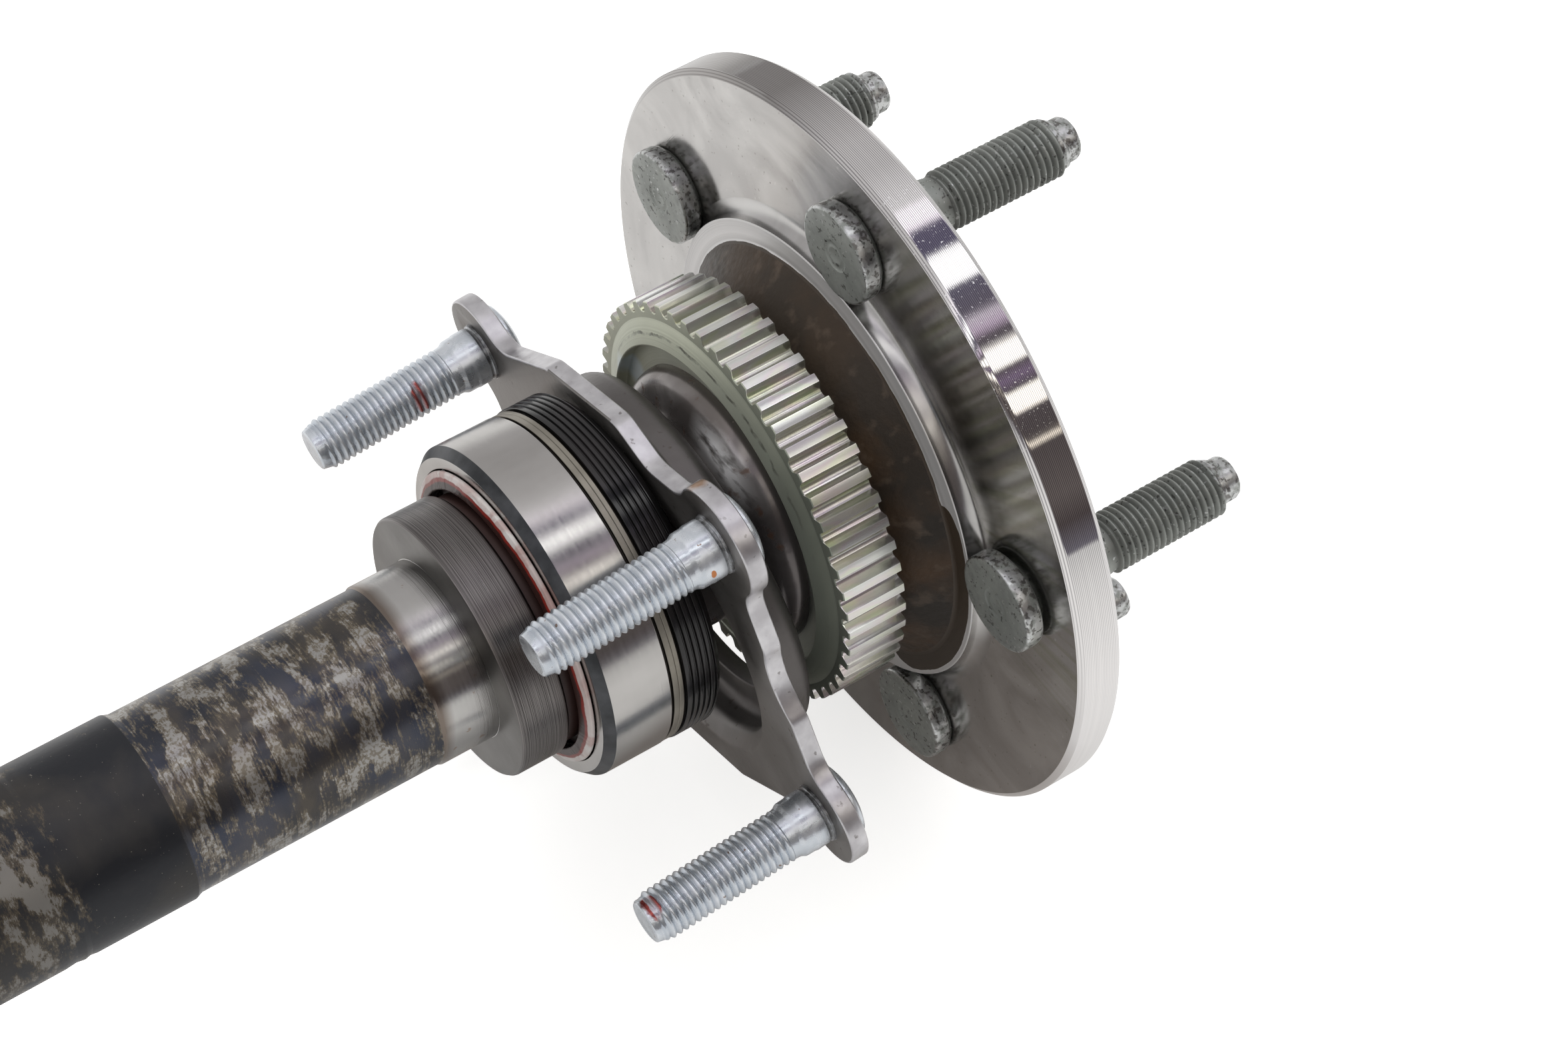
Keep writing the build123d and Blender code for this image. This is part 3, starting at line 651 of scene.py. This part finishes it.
# Tone ring: fifty-three teeth for the wheel-speed sensor, machined with round-bottomed slots,
# plated in yellow zinc and pressed on the hub. Its inboard face has a turned, recessed web.
TONE_TEETH = 53
TONE_OFFSET = 1.27
TONE_RADIUS = 45.05
TOOTH_SHAPE = [
    (-0.5, 42.85), (-0.42, 42.88), (-0.33, 43.1), (-0.27, 43.7), (-0.22, 44.6), (-0.18, 45.05),
    (-0.06, 45.07), (0.06, 45.07), (0.18, 45.05), (0.22, 44.6), (0.27, 43.7), (0.33, 43.1), (0.42, 42.88),
]
tone_ring = turned_piece("sensor_tone_ring", [
    (31.02, -24.4), (41.0, -24.4), (44.85, -24.4), (TONE_RADIUS, -24.6), (TONE_RADIUS, -28.0),
    (TONE_RADIUS, -34.0), (TONE_RADIUS, -38.1), (44.85, -38.3), (41.5, -38.3, 0.4), (36.2, -40.5, 0.3),
    (35.9, -38.0, 0.4), (31.02, -38.0),
], TONE_TEETH * len(TOOTH_SHAPE))
for vertex in tone_ring.data.vertices:
    radius = radius_of(vertex.co) * 1000
    if radius < 44.0:
        continue
    angle = math.atan2(vertex.co.z, vertex.co.x)
    step = round(angle / (2 * math.pi) * TONE_TEETH * len(TOOTH_SHAPE))
    tooth, place_in_tooth = divmod(step, len(TOOTH_SHAPE))
    phase, tip = TOOTH_SHAPE[place_in_tooth]
    new_angle = 2 * math.pi * (tooth + phase + 0.5) / TONE_TEETH + math.radians(TONE_OFFSET)
    new_radius = (tip - (TONE_RADIUS - radius)) / 1000
    vertex.co.x = new_radius * math.cos(new_angle)
    vertex.co.z = new_radius * math.sin(new_angle)
yellow_zinc, shader, place = new_finish("yellow_zinc", (0.7, 0.69, 0.6), 0.92, 0.2)
where = on_axle(place)
tint = noise(stretched(place, (1.0, 0.3, 1.0)), 150.0, 3.0, distortion=0.6)
tone = ramp_node(tint, [
    (0.3, (0.62, 0.72, 0.58)), (0.4, (0.74, 0.76, 0.54)), (0.46, (0.84, 0.84, 0.8)),
    (0.52, (0.78, 0.76, 0.78)), (0.56, (0.82, 0.66, 0.74)), (0.61, (0.82, 0.84, 0.62)),
    (0.67, (0.62, 0.76, 0.54)), (0.76, (0.8, 0.78, 0.74)),
])
scores = noise(stretched(place, (1.0, 0.03, 1.0)), 1700.0, 3.0)
tooth_turn = math_node("ADD", where["Angle"], -TONE_OFFSET)
tooth_turn = math_node("FRACT", times(tooth_turn, TONE_TEETH / 360))
# Painted highlights on the edges of each tooth's land and painted shade down its flanks, tooth by tooth
wear_and_tooth_shading = ramp_node(tooth_turn, [
    (0.0, (0.78, 0.77, 0.73)), (0.08, (0.7, 0.71, 0.56)), (0.16, (0.58, 0.6, 0.4)),
    (0.27, (0.44, 0.46, 0.37)), (0.315, (0.58, 0.6, 0.56)), (0.33, (1.0, 1.0, 0.98)),
    (0.36, (0.7, 0.72, 0.66)), (0.5, (0.76, 0.77, 0.72)), (0.64, (0.7, 0.72, 0.66)),
    (0.67, (1.0, 1.0, 0.98)), (0.69, (0.42, 0.43, 0.38)), (0.75, (0.66, 0.66, 0.6)),
    (0.82, (0.86, 0.84, 0.82)), (0.92, (0.72, 0.66, 0.68)), (1.0, (0.78, 0.76, 0.72)),
])
tone = mixed(0.6, tone, wear_and_tooth_shading)
feed(shader, tone, linear(scores, 0.08, 0.18), bumped(scores, 0.04, 0.0001))

# The ring's faces and its web: dull green plating with turned bands and a worn ring scratch. Painted
# shade darkens the right side, painted light pales the upper left, and a painted reflection lays one
# bluish-white patch on the web.
dull_zinc, shader, place = new_finish("dull_green_zinc", (0.3, 0.32, 0.26), 0.45, 0.4)
where = on_axle(place)
lines = tool_marks(where["Radius"], 0.0004)
bands = ramp_node(times(where["Radius"], 20.0), [
    (0.62, (0.42, 0.42, 0.38)), (0.65, (0.56, 0.58, 0.5)), (0.715, (0.6, 0.63, 0.54)),
    (0.722, (0.5, 0.52, 0.43)), (0.76, (0.48, 0.5, 0.41)), (0.79, (0.5, 0.52, 0.42)),
    (0.822, (0.54, 0.56, 0.45)), (0.832, (0.42, 0.44, 0.36)), (0.9, (0.5, 0.52, 0.42)),
])
cloudy = patches(place, 90.0, 0.35, 0.7)
# Painted shade on the ring's right side and painted light on its upper left
shaded_side = share(away_from(where["Angle"], -10.0), 110.0, 45.0)
tone = over(bands, cloudy, 0.25, (0.2, 0.2, 0.16))
tone = over(tone, shaded_side, 0.55, (0.13, 0.155, 0.14))
lit_side = share(where["Angle"], 85.0, 135.0)
tone = over(tone, lit_side, 0.55, (0.8, 0.82, 0.66))
# Painted reflection: one bluish-white patch on the web
blue_reflection = vector_node("DISTANCE", place, (-0.0324, -0.038, 0.0111))["Value"]
blue_reflection = share(linear(cloudy, 0.0015, blue_reflection), 0.0062, 0.004)
tone = over(tone, blue_reflection, 0.8, (0.8, 0.9, 0.95))
scratch = noise(place, 260.0, 10.0)
scratch = linear(scratch, 0.002, math_node("ADD", where["Radius"], -0.0396))
scratch = share(math_node("ABSOLUTE", scratch), 0.00034, 0.00018)
worn = share(away_from(where["Angle"], 98.0), 75.0, 30.0)
broken = patches(place, 230.0, 0.4, 0.55, 6.0)
scratch = times(scratch, times(worn, broken))
tone = over(tone, scratch, 0.85, (0.1, 0.1, 0.085))
feed(shader, tone, normal=bumped(lines["Height"], 0.3, 0.0001))
WEB_RIM = 0.0364
tone_ring.data.materials.append(yellow_zinc)
tone_ring.data.materials.append(dull_zinc)
for face in tone_ring.data.polygons:
    if face.normal.y < -0.6 or radius_of(face.center) < WEB_RIM:
        face.material_index = 1
smooth_over(tone_ring, 24)
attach(tone_ring, "shaft")
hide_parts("tone_ring")


# Wheel studs: five cold-formed studs pressed through the flange from behind. They are phosphated
# grey-green, rubbed bright on the head's edge and at the dog point, with a fine rolled thread. The
# first one's head stands off the flange a little.
def clamped(value):
    """A value kept between 0 and 1."""
    return min(max(value, 0.0), 1.0)


def thread_piece(name, crest, root, pitch, first, last, steps):
    """A rolled thread in mm about Y, made as a screw of one pitch that fades into the core at both ends."""
    foot = root + (crest - root) * 0.12
    flank = root + (crest - root) * 0.72
    shape = [
        (root, 0.0), (foot, 0.1), (flank, 0.3), (crest - 0.02, 0.43), (crest, 0.5), (crest - 0.02, 0.57),
        (flank, 0.7), (foot, 0.9), (root, 1.0),
    ]
    piece = closed_outline(name, [(radius, first + part * pitch) for radius, part in shape])
    bpy.ops.object.mode_set(mode="EDIT")
    bpy.ops.mesh.select_all(action="DESELECT")
    bpy.ops.object.mode_set(mode="OBJECT")
    for edge in piece.data.edges:
        edge.select = set(edge.vertices) == {0, len(shape) - 1}
    bpy.ops.object.mode_set(mode="EDIT")
    bpy.ops.mesh.select_mode(type="EDGE")
    bpy.ops.mesh.delete(type="EDGE")
    bpy.ops.mesh.select_mode(type="VERT")
    bpy.ops.object.mode_set(mode="OBJECT")
    screw = piece.modifiers.new("screw", "SCREW")
    screw.axis = "Y"
    screw.steps = steps
    screw.render_steps = steps
    screw.iterations = round((last - first) / pitch)
    screw.screw_offset = pitch / 1000
    screw.use_merge_vertices = True
    screw.merge_threshold = 5e-6
    bpy.ops.object.modifier_apply(modifier="screw")
    bpy.ops.object.mode_set(mode="EDIT")
    bpy.ops.mesh.select_all(action="SELECT")
    bpy.ops.mesh.remove_doubles(threshold=5e-6)
    bpy.ops.object.mode_set(mode="OBJECT")
    ends = [vertex.co.y for vertex in piece.data.vertices]
    low, high = min(ends), max(ends)
    core = root / 1000 - 0.00015
    for vertex in piece.data.vertices:
        radius = radius_of(vertex.co)
        near = min(vertex.co.y - low, high - vertex.co.y) * 1000 / pitch
        scale = (core + (radius - core) * clamped((near - 0.6) / 0.9)) / radius
        vertex.co.x *= scale
        vertex.co.z *= scale
    bpy.ops.object.mode_set(mode="EDIT")
    bpy.ops.mesh.select_all(action="SELECT")
    bpy.ops.mesh.fill_holes(sides=0)
    bpy.ops.mesh.select_all(action="SELECT")
    bpy.ops.mesh.normals_make_consistent(inside=False)
    bpy.ops.object.mode_set(mode="OBJECT")
    return piece


def joined(name, *pieces):
    """Join pieces into the first one."""
    pick(*pieces)
    bpy.ops.object.join()
    whole = bpy.context.object
    whole.name = name
    whole.data.name = name
    return whole


def paint_value(piece, name, value_at):
    """Store a value per vertex, worked out from its radius about Y and its y, both in mm."""
    layer = piece.data.attributes.new(name, "FLOAT", "POINT")
    for vertex in piece.data.vertices:
        radius = radius_of(vertex.co) * 1000
        layer.data[vertex.index].value = value_at(radius, vertex.co.y * 1000)


def painted(shader, name):
    """A stored value, read back in a material."""
    return add_node(shader.id_data, "ShaderNodeAttribute", attribute_name=name).outputs["Fac"]


def placed_copy(piece, name, matrix):
    """A copy with its own mesh, and its place in that mesh."""
    mesh = piece.data.copy()
    mesh.name = name
    mesh.transform(matrix)
    made = bpy.data.objects.new(name, mesh)
    bpy.context.scene.collection.objects.link(made)
    return made


STUD_CREST = 6.35
STUD_ROOT = 5.5
THREAD_PITCH = 1.5
body = turned_piece("stud_body", [
    (0, -14.24), (1.5, -14.24), (1.75, -14.32), (2.1, -14.32), (2.4, -14.22), (3.1, -14.22),
    (3.55, -14.4, 0.1), (9.9, -14.4), (10.2, -14.37), (10.45, -14.2), (10.55, -13.9), (10.55, -11.2),
    (10.3, -10.5), (9.8, -10.2), (9.4, -10.15), (9.3, -9.9), (6.6, -9.9), (6.6, 0.4), (6.2, 1.2), (5.9, 8.2),
    (5.55, 10.2), (5.5, 35.0), (5.2, 36.1), (4.75, 37.4), (4.7, 41.0), (4.2, 42.0, 0.5), (0, 42.0),
], 56)
thread = thread_piece("stud_thread", STUD_CREST, STUD_ROOT, THREAD_PITCH, 8.8, 37.3, 56)
stud = joined("stud", body, thread)
paint_value(stud, "wear", lambda radius, y: (
    clamped((radius - 9.8) / 0.5) if y < -9.0 else 0.7 if 0.0 < y < 8.0 else clamped(y - 36.0)
))
paint_value(stud, "depth", lambda radius, y: (
    clamped((STUD_CREST - radius) / (STUD_CREST - STUD_ROOT)) if 9.5 < y < 36.5 else 0.0
))
phosphate, shader, place = new_finish("stud_phosphate", (0.26, 0.27, 0.25), 0.5, 0.55)
wear = painted(shader, "wear")
depth = painted(shader, "depth")
cloudy = patches(place, 160.0, 0.35, 0.7)
pitted = patches(place, 520.0, 0.36, 0.54, 9.0)
sparks = patches(place, 900.0, 0.64, 0.7, 2.0)
pits = patches(place, 1000.0, 0.63, 0.68, 2.0)
tone = mixed(cloudy, (0.27, 0.285, 0.268), (0.35, 0.365, 0.342))
# Painted shade: the thread's roots are darkened
tone = over(tone, depth, 0.55, (0.07, 0.068, 0.062))
wear_and_tooth_shading = times(wear, pitted)
wear_and_tooth_shading = math_node("MAXIMUM", wear_and_tooth_shading, times(sparks, 0.7))
tone = over(tone, wear_and_tooth_shading, 0.85, (0.68, 0.69, 0.69))
tone = over(tone, pits, 0.75, (0.05, 0.048, 0.045))
edge_pits = times(patches(place, 800.0, 0.53, 0.6, 6.0), wear)
tone = over(tone, edge_pits, 0.75, (0.1, 0.09, 0.082))
metal = linear(wear_and_tooth_shading, 0.3, 0.7)
feed(shader, tone, linear(wear_and_tooth_shading, -0.22, 0.5), bumped(noise(place, 900.0, 4.0), 0.12, 0.0003), metal)
stud.data.materials.append(phosphate)
smooth_over(stud, 40)
STUD_COUNT = 5
STUD_CIRCLE = 0.0635
FIRST_STUD_ANGLE = 13.9
PROUD_STUD_LIFT = 0.0011
for number in range(STUD_COUNT):
    angle = math.radians(FIRST_STUD_ANGLE + 360 / STUD_COUNT * number)
    spot = Matrix.Translation((STUD_CIRCLE * math.cos(angle), 0, STUD_CIRCLE * math.sin(angle)))
    name = f"wheel_stud_{number + 1}"
    piece = placed_copy(stud, "pressed_" + name, spot @ Matrix.Rotation(1.3 * number, 4, "Y"))
    if number == 0:
        for vertex in piece.data.vertices:
            if vertex.co.y < -0.005:
                vertex.co.y -= PROUD_STUD_LIFT
    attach(piece, "shaft")
    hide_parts(name)
bpy.data.objects.remove(stud)

# Retainer plate: pressed from 4 mm steel, with four ears and a raised boss round its large hole.
# Its sheared edges are brighter than its dull faces. It hangs loose on the neck, tilted and turned.
PLATE_TILT = math.radians(5.8)
PLATE_TURN = math.radians(-21.2)
PLATE_CENTRE = Vector((0, -0.0571, -0.0109))
BOSS_STARTS = 0.0041
plate_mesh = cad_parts["retainer_plate"].data.copy()
plate_mesh.name = "pressed_retainer_plate"
plate = bpy.data.objects.new("pressed_retainer_plate", plate_mesh)
bpy.context.scene.collection.objects.link(plate)
plate.data.materials.clear()
pick(plate)
bpy.ops.object.mode_set(mode="EDIT")
bpy.ops.mesh.select_all(action="SELECT")
bpy.ops.mesh.remove_doubles(threshold=1e-6)
bpy.ops.mesh.dissolve_limited(angle_limit=math.radians(0.5))
bpy.ops.object.mode_set(mode="OBJECT")
bevel = plate.modifiers.new("sheared_edge", "BEVEL")
bevel.width = 0.00045
bevel.segments = 3
bevel.limit_method = "ANGLE"
bevel.angle_limit = math.radians(40)
bevel.use_clamp_overlap = True
bevel.material = 1
plate_normal = Matrix.Rotation(PLATE_TILT, 3, "X") @ Vector((0, 1, 0))
for face in plate.data.polygons:
    out = face.center - PLATE_CENTRE
    sheared_side = abs(face.normal.dot(plate_normal)) < 0.35 and out.length > 0.042
    face.material_index = 1 if sheared_side and out.dot(plate_normal) < BOSS_STARTS else 0
dull_plate, shader, place = new_finish("dull_pressed_steel", (0.3, 0.29, 0.295), 0.9, 0.42)
cloudy = patches(place, 60.0, 0.35, 0.7, 6.0, 0.5)
marks = patches(place, 480.0, 0.66, 0.72, 3.0)
tone = mixed(cloudy, (0.2, 0.188, 0.18), (0.31, 0.296, 0.288))
lift = vector_node("ADD", place, -PLATE_CENTRE)["Vector"]
lift = vector_node("DOT_PRODUCT", lift, plate_normal)["Value"]
on_boss = share(lift, 0.0036, 0.0044)
tone = over(tone, on_boss, 0.62, (0.08, 0.072, 0.07))
tone = over(tone, marks, 0.6, (0.09, 0.075, 0.065))
rough = linear(cloudy, 0.14, 0.34)
grain = noise(place, 520.0, 5.0)
feed(shader, tone, rough, bumped(grain, 0.2, 0.0003))
sheared, shader, place = new_finish("sheared_edge_steel", (0.55, 0.53, 0.54), 1.0, 0.36)
cloudy = patches(place, 220.0, 0.35, 0.7, 4.0)
specks = patches(place, 500.0, 0.66, 0.72, 3.0)
tone = mixed(cloudy, (0.56, 0.545, 0.565), (0.78, 0.77, 0.79))
tone = over(tone, specks, 0.6, (0.12, 0.1, 0.09))
rust_spot = vector_node("DISTANCE", place, (0.0273, -0.061, 0.048))["Value"]
rust_spot = share(linear(cloudy, 0.001, rust_spot), 0.0036, 0.0022)
tone = over(tone, rust_spot, 0.85, (0.3, 0.14, 0.045))
feed(shader, tone, normal=bumped(cloudy, 0.12, 0.0003))
plate.data.materials.append(dull_plate)
plate.data.materials.append(sheared)
bpy.ops.object.modifier_apply(modifier="sheared_edge")
for face in plate.data.polygons:
    if (face.center - PLATE_CENTRE).length < 0.048:
        face.material_index = 0
smooth_over(plate, 35)
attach(plate, "retainer")
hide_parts("retainer_plate")

# Housing studs: four coarse bolts staked in the plate, plated in bright blue zinc, with a low
# domed cap outboard and a plain collar that flares down to the thread.
PLATE_HANG = (
    Matrix.Translation((0, -0.0571081, -0.0109481))
    @ Matrix.Rotation(PLATE_TILT, 4, "X")
    @ Matrix.Rotation(PLATE_TURN, 4, "Y")
)
BOLT_CREST = 5.55
BOLT_ROOT = 4.95
body = turned_piece("bolt_body", [
    (0, 6.8), (5.5, 6.8, 3.0), (8.3, 5.7, 1.2), (8.3, 4.0), (6.0, 4.0), (6.0, 0), (6.35, -0.02),
    (6.3, -0.5, 0.1), (5.95, -0.75, 0.1), (5.95, -1.15, 0.1), (6.2, -1.4, 0.1), (6.25, -4.0, 0.4),
    (6.1, -4.6, 0.2), (6.05, -6.6, 0.8), (5.5, -7.6, 0.8), (5.35, -9.0), (4.92, -10.2), (4.92, -39.6),
    (4.5, -41.4, 0.3), (3.9, -41.6, 0.1), (0, -41.6),
], 56)
thread = thread_piece("bolt_thread", BOLT_CREST, BOLT_ROOT, THREAD_PITCH, -41.0, -8.0, 56)
for vertex in thread.data.vertices:
    past = -40.2 - vertex.co.y * 1000
    if past > 0:
        limit = (BOLT_CREST - 0.9 * past) / 1000
        radius = radius_of(vertex.co)
        if radius > limit:
            vertex.co.x *= limit / radius
            vertex.co.z *= limit / radius
bolt = joined("bolt", body, thread)
paint_value(bolt, "depth", lambda radius, y: (
    clamped((BOLT_CREST - radius) / (BOLT_CREST - BOLT_ROOT)) if -40.0 < y < -9.0 else 0.0
))
paint_value(bolt, "crimp", lambda radius, y: 1.0 if -1.2 < y < 0.1 and radius < 7.0 else 0.0)
blue_zinc, shader, place = new_finish("bright_blue_zinc", (0.66, 0.69, 0.74), 0.8, 0.28)
depth = painted(shader, "depth")
crimp = painted(shader, "crimp")
frost = patches(place, 260.0, 0.38, 0.68, 5.0, 0.6)
specks = patches(place, 620.0, 0.72, 0.76, 2.0)
tone = mixed(frost, (0.62, 0.66, 0.71), (0.8, 0.83, 0.87))
# Painted shade: the thread's roots are darkened to a bluer grey
tone = over(tone, depth, 0.45, (0.4, 0.46, 0.54))
tone = over(tone, specks, 0.8, (0.2, 0.1, 0.05))
crimp = times(crimp, linear(frost, -0.6, 0.9))
tone = mixed(crimp, tone, (0.1, 0.095, 0.09))

# Two red paint marks and a rust spot, each on the bolt that it lies on at rest
PAINT_RED = (0.3, 0.03, 0.02)
RUST = (0.5, 0.17, 0.04)
for centre, reach, colour in (
    ((-0.05486, -0.076, 0.0042), 0.0026, PAINT_RED), ((0.0591, -0.0955, -0.0238), 0.0026, PAINT_RED),
    ((0.0404, -0.0667, 0.04), 0.0008, RUST),
):
    away = vector_node("SUBTRACT", place, centre)["Vector"]
    away = vector_node("MULTIPLY", away, (0.6, 1.25, 0.6))["Vector"]
    away = linear(frost, 0.4 * reach, vector_node("LENGTH", away)["Value"])
    paint = times(share(away, reach, reach * 0.85), linear(depth, -0.75, 0.95))
    tone = mixed(paint, tone, colour)
feed(shader, tone, linear(frost, 0.14, 0.22), bumped(frost, 0.1, 0.0003))
bolt.data.materials.append(blue_zinc)
smooth_over(bolt, 40)
EAR_ACROSS = 0.0504
EAR_LEVEL = 0.0349
for number, (across, level) in enumerate(((1, 1), (-1, 1), (-1, -1), (1, -1)), start=1):
    spot = PLATE_HANG @ Matrix.Translation((EAR_ACROSS * across, 0, EAR_LEVEL * level))
    name = f"housing_stud_{number}"
    piece = placed_copy(bolt, "staked_" + name, spot @ Matrix.Rotation(0.9 * number, 4, "Y"))
    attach(piece, "retainer")
    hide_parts(name)
bpy.data.objects.remove(bolt)

# Bearing seal: a black rubber ring with moulded ribs, and the pale pressed case between it and the
# cup. The garter spring lies inside the seal's lip.
SEAL_RADIUS = 36.92
GROOVE_RADIUS = 36.4
groove_points = []
for groove in range(5):
    edge = -70.1 + 1.32 * groove
    groove_points += [
        (SEAL_RADIUS, edge, 0.12), (GROOVE_RADIUS, edge + 0.22, 0.12), (GROOVE_RADIUS, edge + 0.42, 0.12),
        (SEAL_RADIUS, edge + 0.64, 0.12),
    ]
seal = turned_piece("ribbed_rubber_seal", [
    (SEAL_RADIUS, -71.1, 0.15), *groove_points, (SEAL_RADIUS, -64.15, 0.3), (35.3, -62.55, 0.3),
    (31.5, -62.55, 0.2), (31.5, -68.75), (26.3, -68.75), (25.3, -64.15), (24.0, -64.15),
    (22.98, -65.15), (23.98, -71.1),
], 192)
black_rubber, shader, place = new_finish("black_rubber", (0.008, 0.008, 0.008), 0.0, 0.2)
film = patches(place, 80.0, 0.4, 0.75)
tone = mixed(film, (0.005, 0.005, 0.005), (0.016, 0.013, 0.014))
feed(shader, tone, linear(film, 0.16, 0.14))
seal.data.materials.append(black_rubber)
smooth_over(seal)
case = turned_piece("pale_seal_case", [
    (35.9, -74.4), (35.95, -74.1), (36.6, -74.0, 0.12), (36.6, -72.85, 0.08), (36.45, -72.7),
    (36.6, -72.55, 0.08), (36.6, -71.75, 0.12), (35.95, -71.6), (35.9, -71.18), (28.5, -71.18),
    (28.5, -72.28), (35.5, -72.28), (35.5, -74.4),
], 192)
pale_case, shader, place = new_finish("pale_case_paint", (0.3, 0.27, 0.22), 0.75, 0.35)
film = patches(place, 110.0, 0.4, 0.7)
tone = mixed(film, (0.25, 0.23, 0.195), (0.34, 0.315, 0.27))
# Painted shade: the case's stepped-down edges by the seal and the cup are darkened
edge_shade = share(on_axle(place)["Radius"], 0.03652, 0.03625)
tone = mixed(edge_shade, tone, (0.02, 0.016, 0.013))
feed(shader, tone)
case.data.materials.append(pale_case)
smooth_over(case)
spring_wire, shader, place = new_finish("garter_wire", (0.5, 0.5, 0.5), 1.0, 0.3)
coils = patches(place, 900.0, 0.4, 0.6, 1.0)
feed(shader, rough=linear(coils, 0.2, 0.25))
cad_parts["garter_spring"].data.materials.clear()
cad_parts["garter_spring"].data.materials.append(spring_wire)
for piece, node, slot in ((seal, "rubber_seal", "seal_rubber"), (case, "seal_case", "seal_case_paint")):
    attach(piece, "bearing_outer")
    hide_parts(node)

# Bearing: a hard steel cup, ground bright outside with a dark chamfer, which the housing holds. In it
# are the cone, pressed on the shaft's seat, the cage and twenty tapered rollers.
cup = turned_piece("bearing_outer_cup", [
    (32.5, -89.6, 0.15), (35.0, -89.64, 0.2), (36.65, -87.7, 0.3), (36.72, -87.3), (36.72, -74.75, 0.2),
    (36.4, -74.45), (28.2, -74.45),
], 256)
cup_ground, shader, place = new_finish("cup_ground_steel", (0.7, 0.685, 0.67), 1.0, 0.2)
where = on_axle(place)
lines = tool_marks(where["Along"], 0.00012)
haze = patches(stretched(place, (1.0, 0.5, 1.0)), 70.0, 0.35, 0.7)
tone = mixed(haze, (0.46, 0.445, 0.43), (0.58, 0.565, 0.55))
feed(shader, tone, linear(lines["Coarse"], 0.1, 0.13), bumped(lines["Height"], 0.12, 0.0001))
shader.inputs["Anisotropic"].default_value = 0.3
black_chamfer, shader, place = new_finish("cup_black_chamfer", (0.05, 0.052, 0.056), 0.7, 0.38)
film = patches(place, 140.0, 0.4, 0.7)
tone = mixed(film, (0.035, 0.037, 0.04), (0.085, 0.088, 0.095))
feed(shader, tone)
cup.data.materials.append(cup_ground)
cup.data.materials.append(black_chamfer)
for face in cup.data.polygons:
    radius = radius_of(face.center) * 1000
    if -89.63 < face.center.y * 1000 < -87.5 and radius > 34.9:
        face.material_index = 1
smooth_over(cup)
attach(cup, "bearing_outer")
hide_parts("bearing_cup")
race_steel, shader, place = new_finish("race_steel", (0.6, 0.59, 0.58), 1.0, 0.16)
film = patches(place, 200.0, 0.4, 0.7, 4.0)
tone = mixed(film, (0.5, 0.49, 0.48), (0.68, 0.67, 0.66))
soiled = share(on_axle(place)["Along"], -0.086, -0.0885)
tone = mixed(soiled, tone, (0.03, 0.012, 0.01))
feed(shader, tone, linear(soiled, 0.25, 0.16), metal=linear(soiled, -0.9, 1.0))
for name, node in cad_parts.items():
    if name.startswith("roller_") or name in ("bearing_cone", "bearing_cage"):
        node.data.materials.clear()
        node.data.materials.append(race_steel)

# Cage end: the pale end ring of the pressed steel cage that carries the rollers. Smeared with red
# grease, it shows in the gap between collar and cup.
cage_end = turned_piece("greased_cage_end", [
    (28.7, -91.6, 0.4), (32.2, -90.5, 0.5), (32.35, -89.7, 0.2), (28.7, -90.2, 0.2),
], 192)
greased, shader, place = new_finish("greased_cage", (0.62, 0.55, 0.53), 0.0, 0.3)
smear = patches(place, 110.0, 0.5, 0.6, 6.0, 1.2)
ragged_r = linear(noise(place, 140.0, 5.0), 0.0022, on_axle(place)["Radius"])
pink = patches(place, 60.0, 0.4, 0.7, 4.0)
tone = mixed(pink, (0.62, 0.59, 0.57), (0.46, 0.37, 0.35))
tone = over(tone, smear, 0.45, (0.3, 0.09, 0.07))
for start_r, colour in ((0.0322, (0.2, 0.018, 0.012)), (0.0315, (0.03, 0.012, 0.01))):
    tone = mixed(share(ragged_r, start_r, start_r - 0.0002), tone, colour)
feed(shader, tone, normal=bumped(smear, 0.3, 0.0004))
cage_end.data.materials.append(greased)
smooth_over(cage_end)
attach(cage_end, "roller_set")

# Lock collar: a thick steel ring, turned with open tool lines on its outside. It is pressed on against
# the cone and keeps the bearing on its seat.
collar = turned_piece("turned_lock_collar", [
    (19.86, -103.94), (27.95, -103.94), (28.2, -103.85), (28.55, -103.35), (28.6, -103.1), (28.6, -102.6),
    (28.6, -93.9), (28.5, -93.6), (28.0, -93.06), (19.86, -93.06),
], 256)
open_turned, shader, place = new_finish("collar_open_turned", (0.2, 0.19, 0.185), 1.0, 0.3)
where = on_axle(place)
lines = tool_marks(where["Along"], 0.00015)
blotch = patches(stretched(place, (1.0, 4.0, 1.0)), 90.0, 0.4, 0.68, 6.0)
sharp = share(lines["Height"], 0.36, 0.64)
tone = mixed(sharp, (0.03, 0.027, 0.026), (0.28, 0.262, 0.255))
tone = over(tone, blotch, 0.25, (0.25, 0.235, 0.23))
feed(shader, tone, linear(lines["Coarse"], 0.2, 0.22), bumped(lines["Height"], 0.4, 0.0001))
collar_face, shader, place = new_finish("collar_face", (0.2, 0.19, 0.185), 1.0, 0.38)
cloudy = patches(place, 90.0, 0.35, 0.7)
tone = mixed(cloudy, (0.17, 0.162, 0.155), (0.25, 0.24, 0.23))
feed(shader, tone)
collar.data.materials.append(open_turned)
collar.data.materials.append(collar_face)
for face in collar.data.polygons:
    if face.center.y < -0.1039 or radius_of(face.center) < 0.0279:
        face.material_index = 1
smooth_over(collar, 20)
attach(collar, "shaft")
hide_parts("lock_collar")
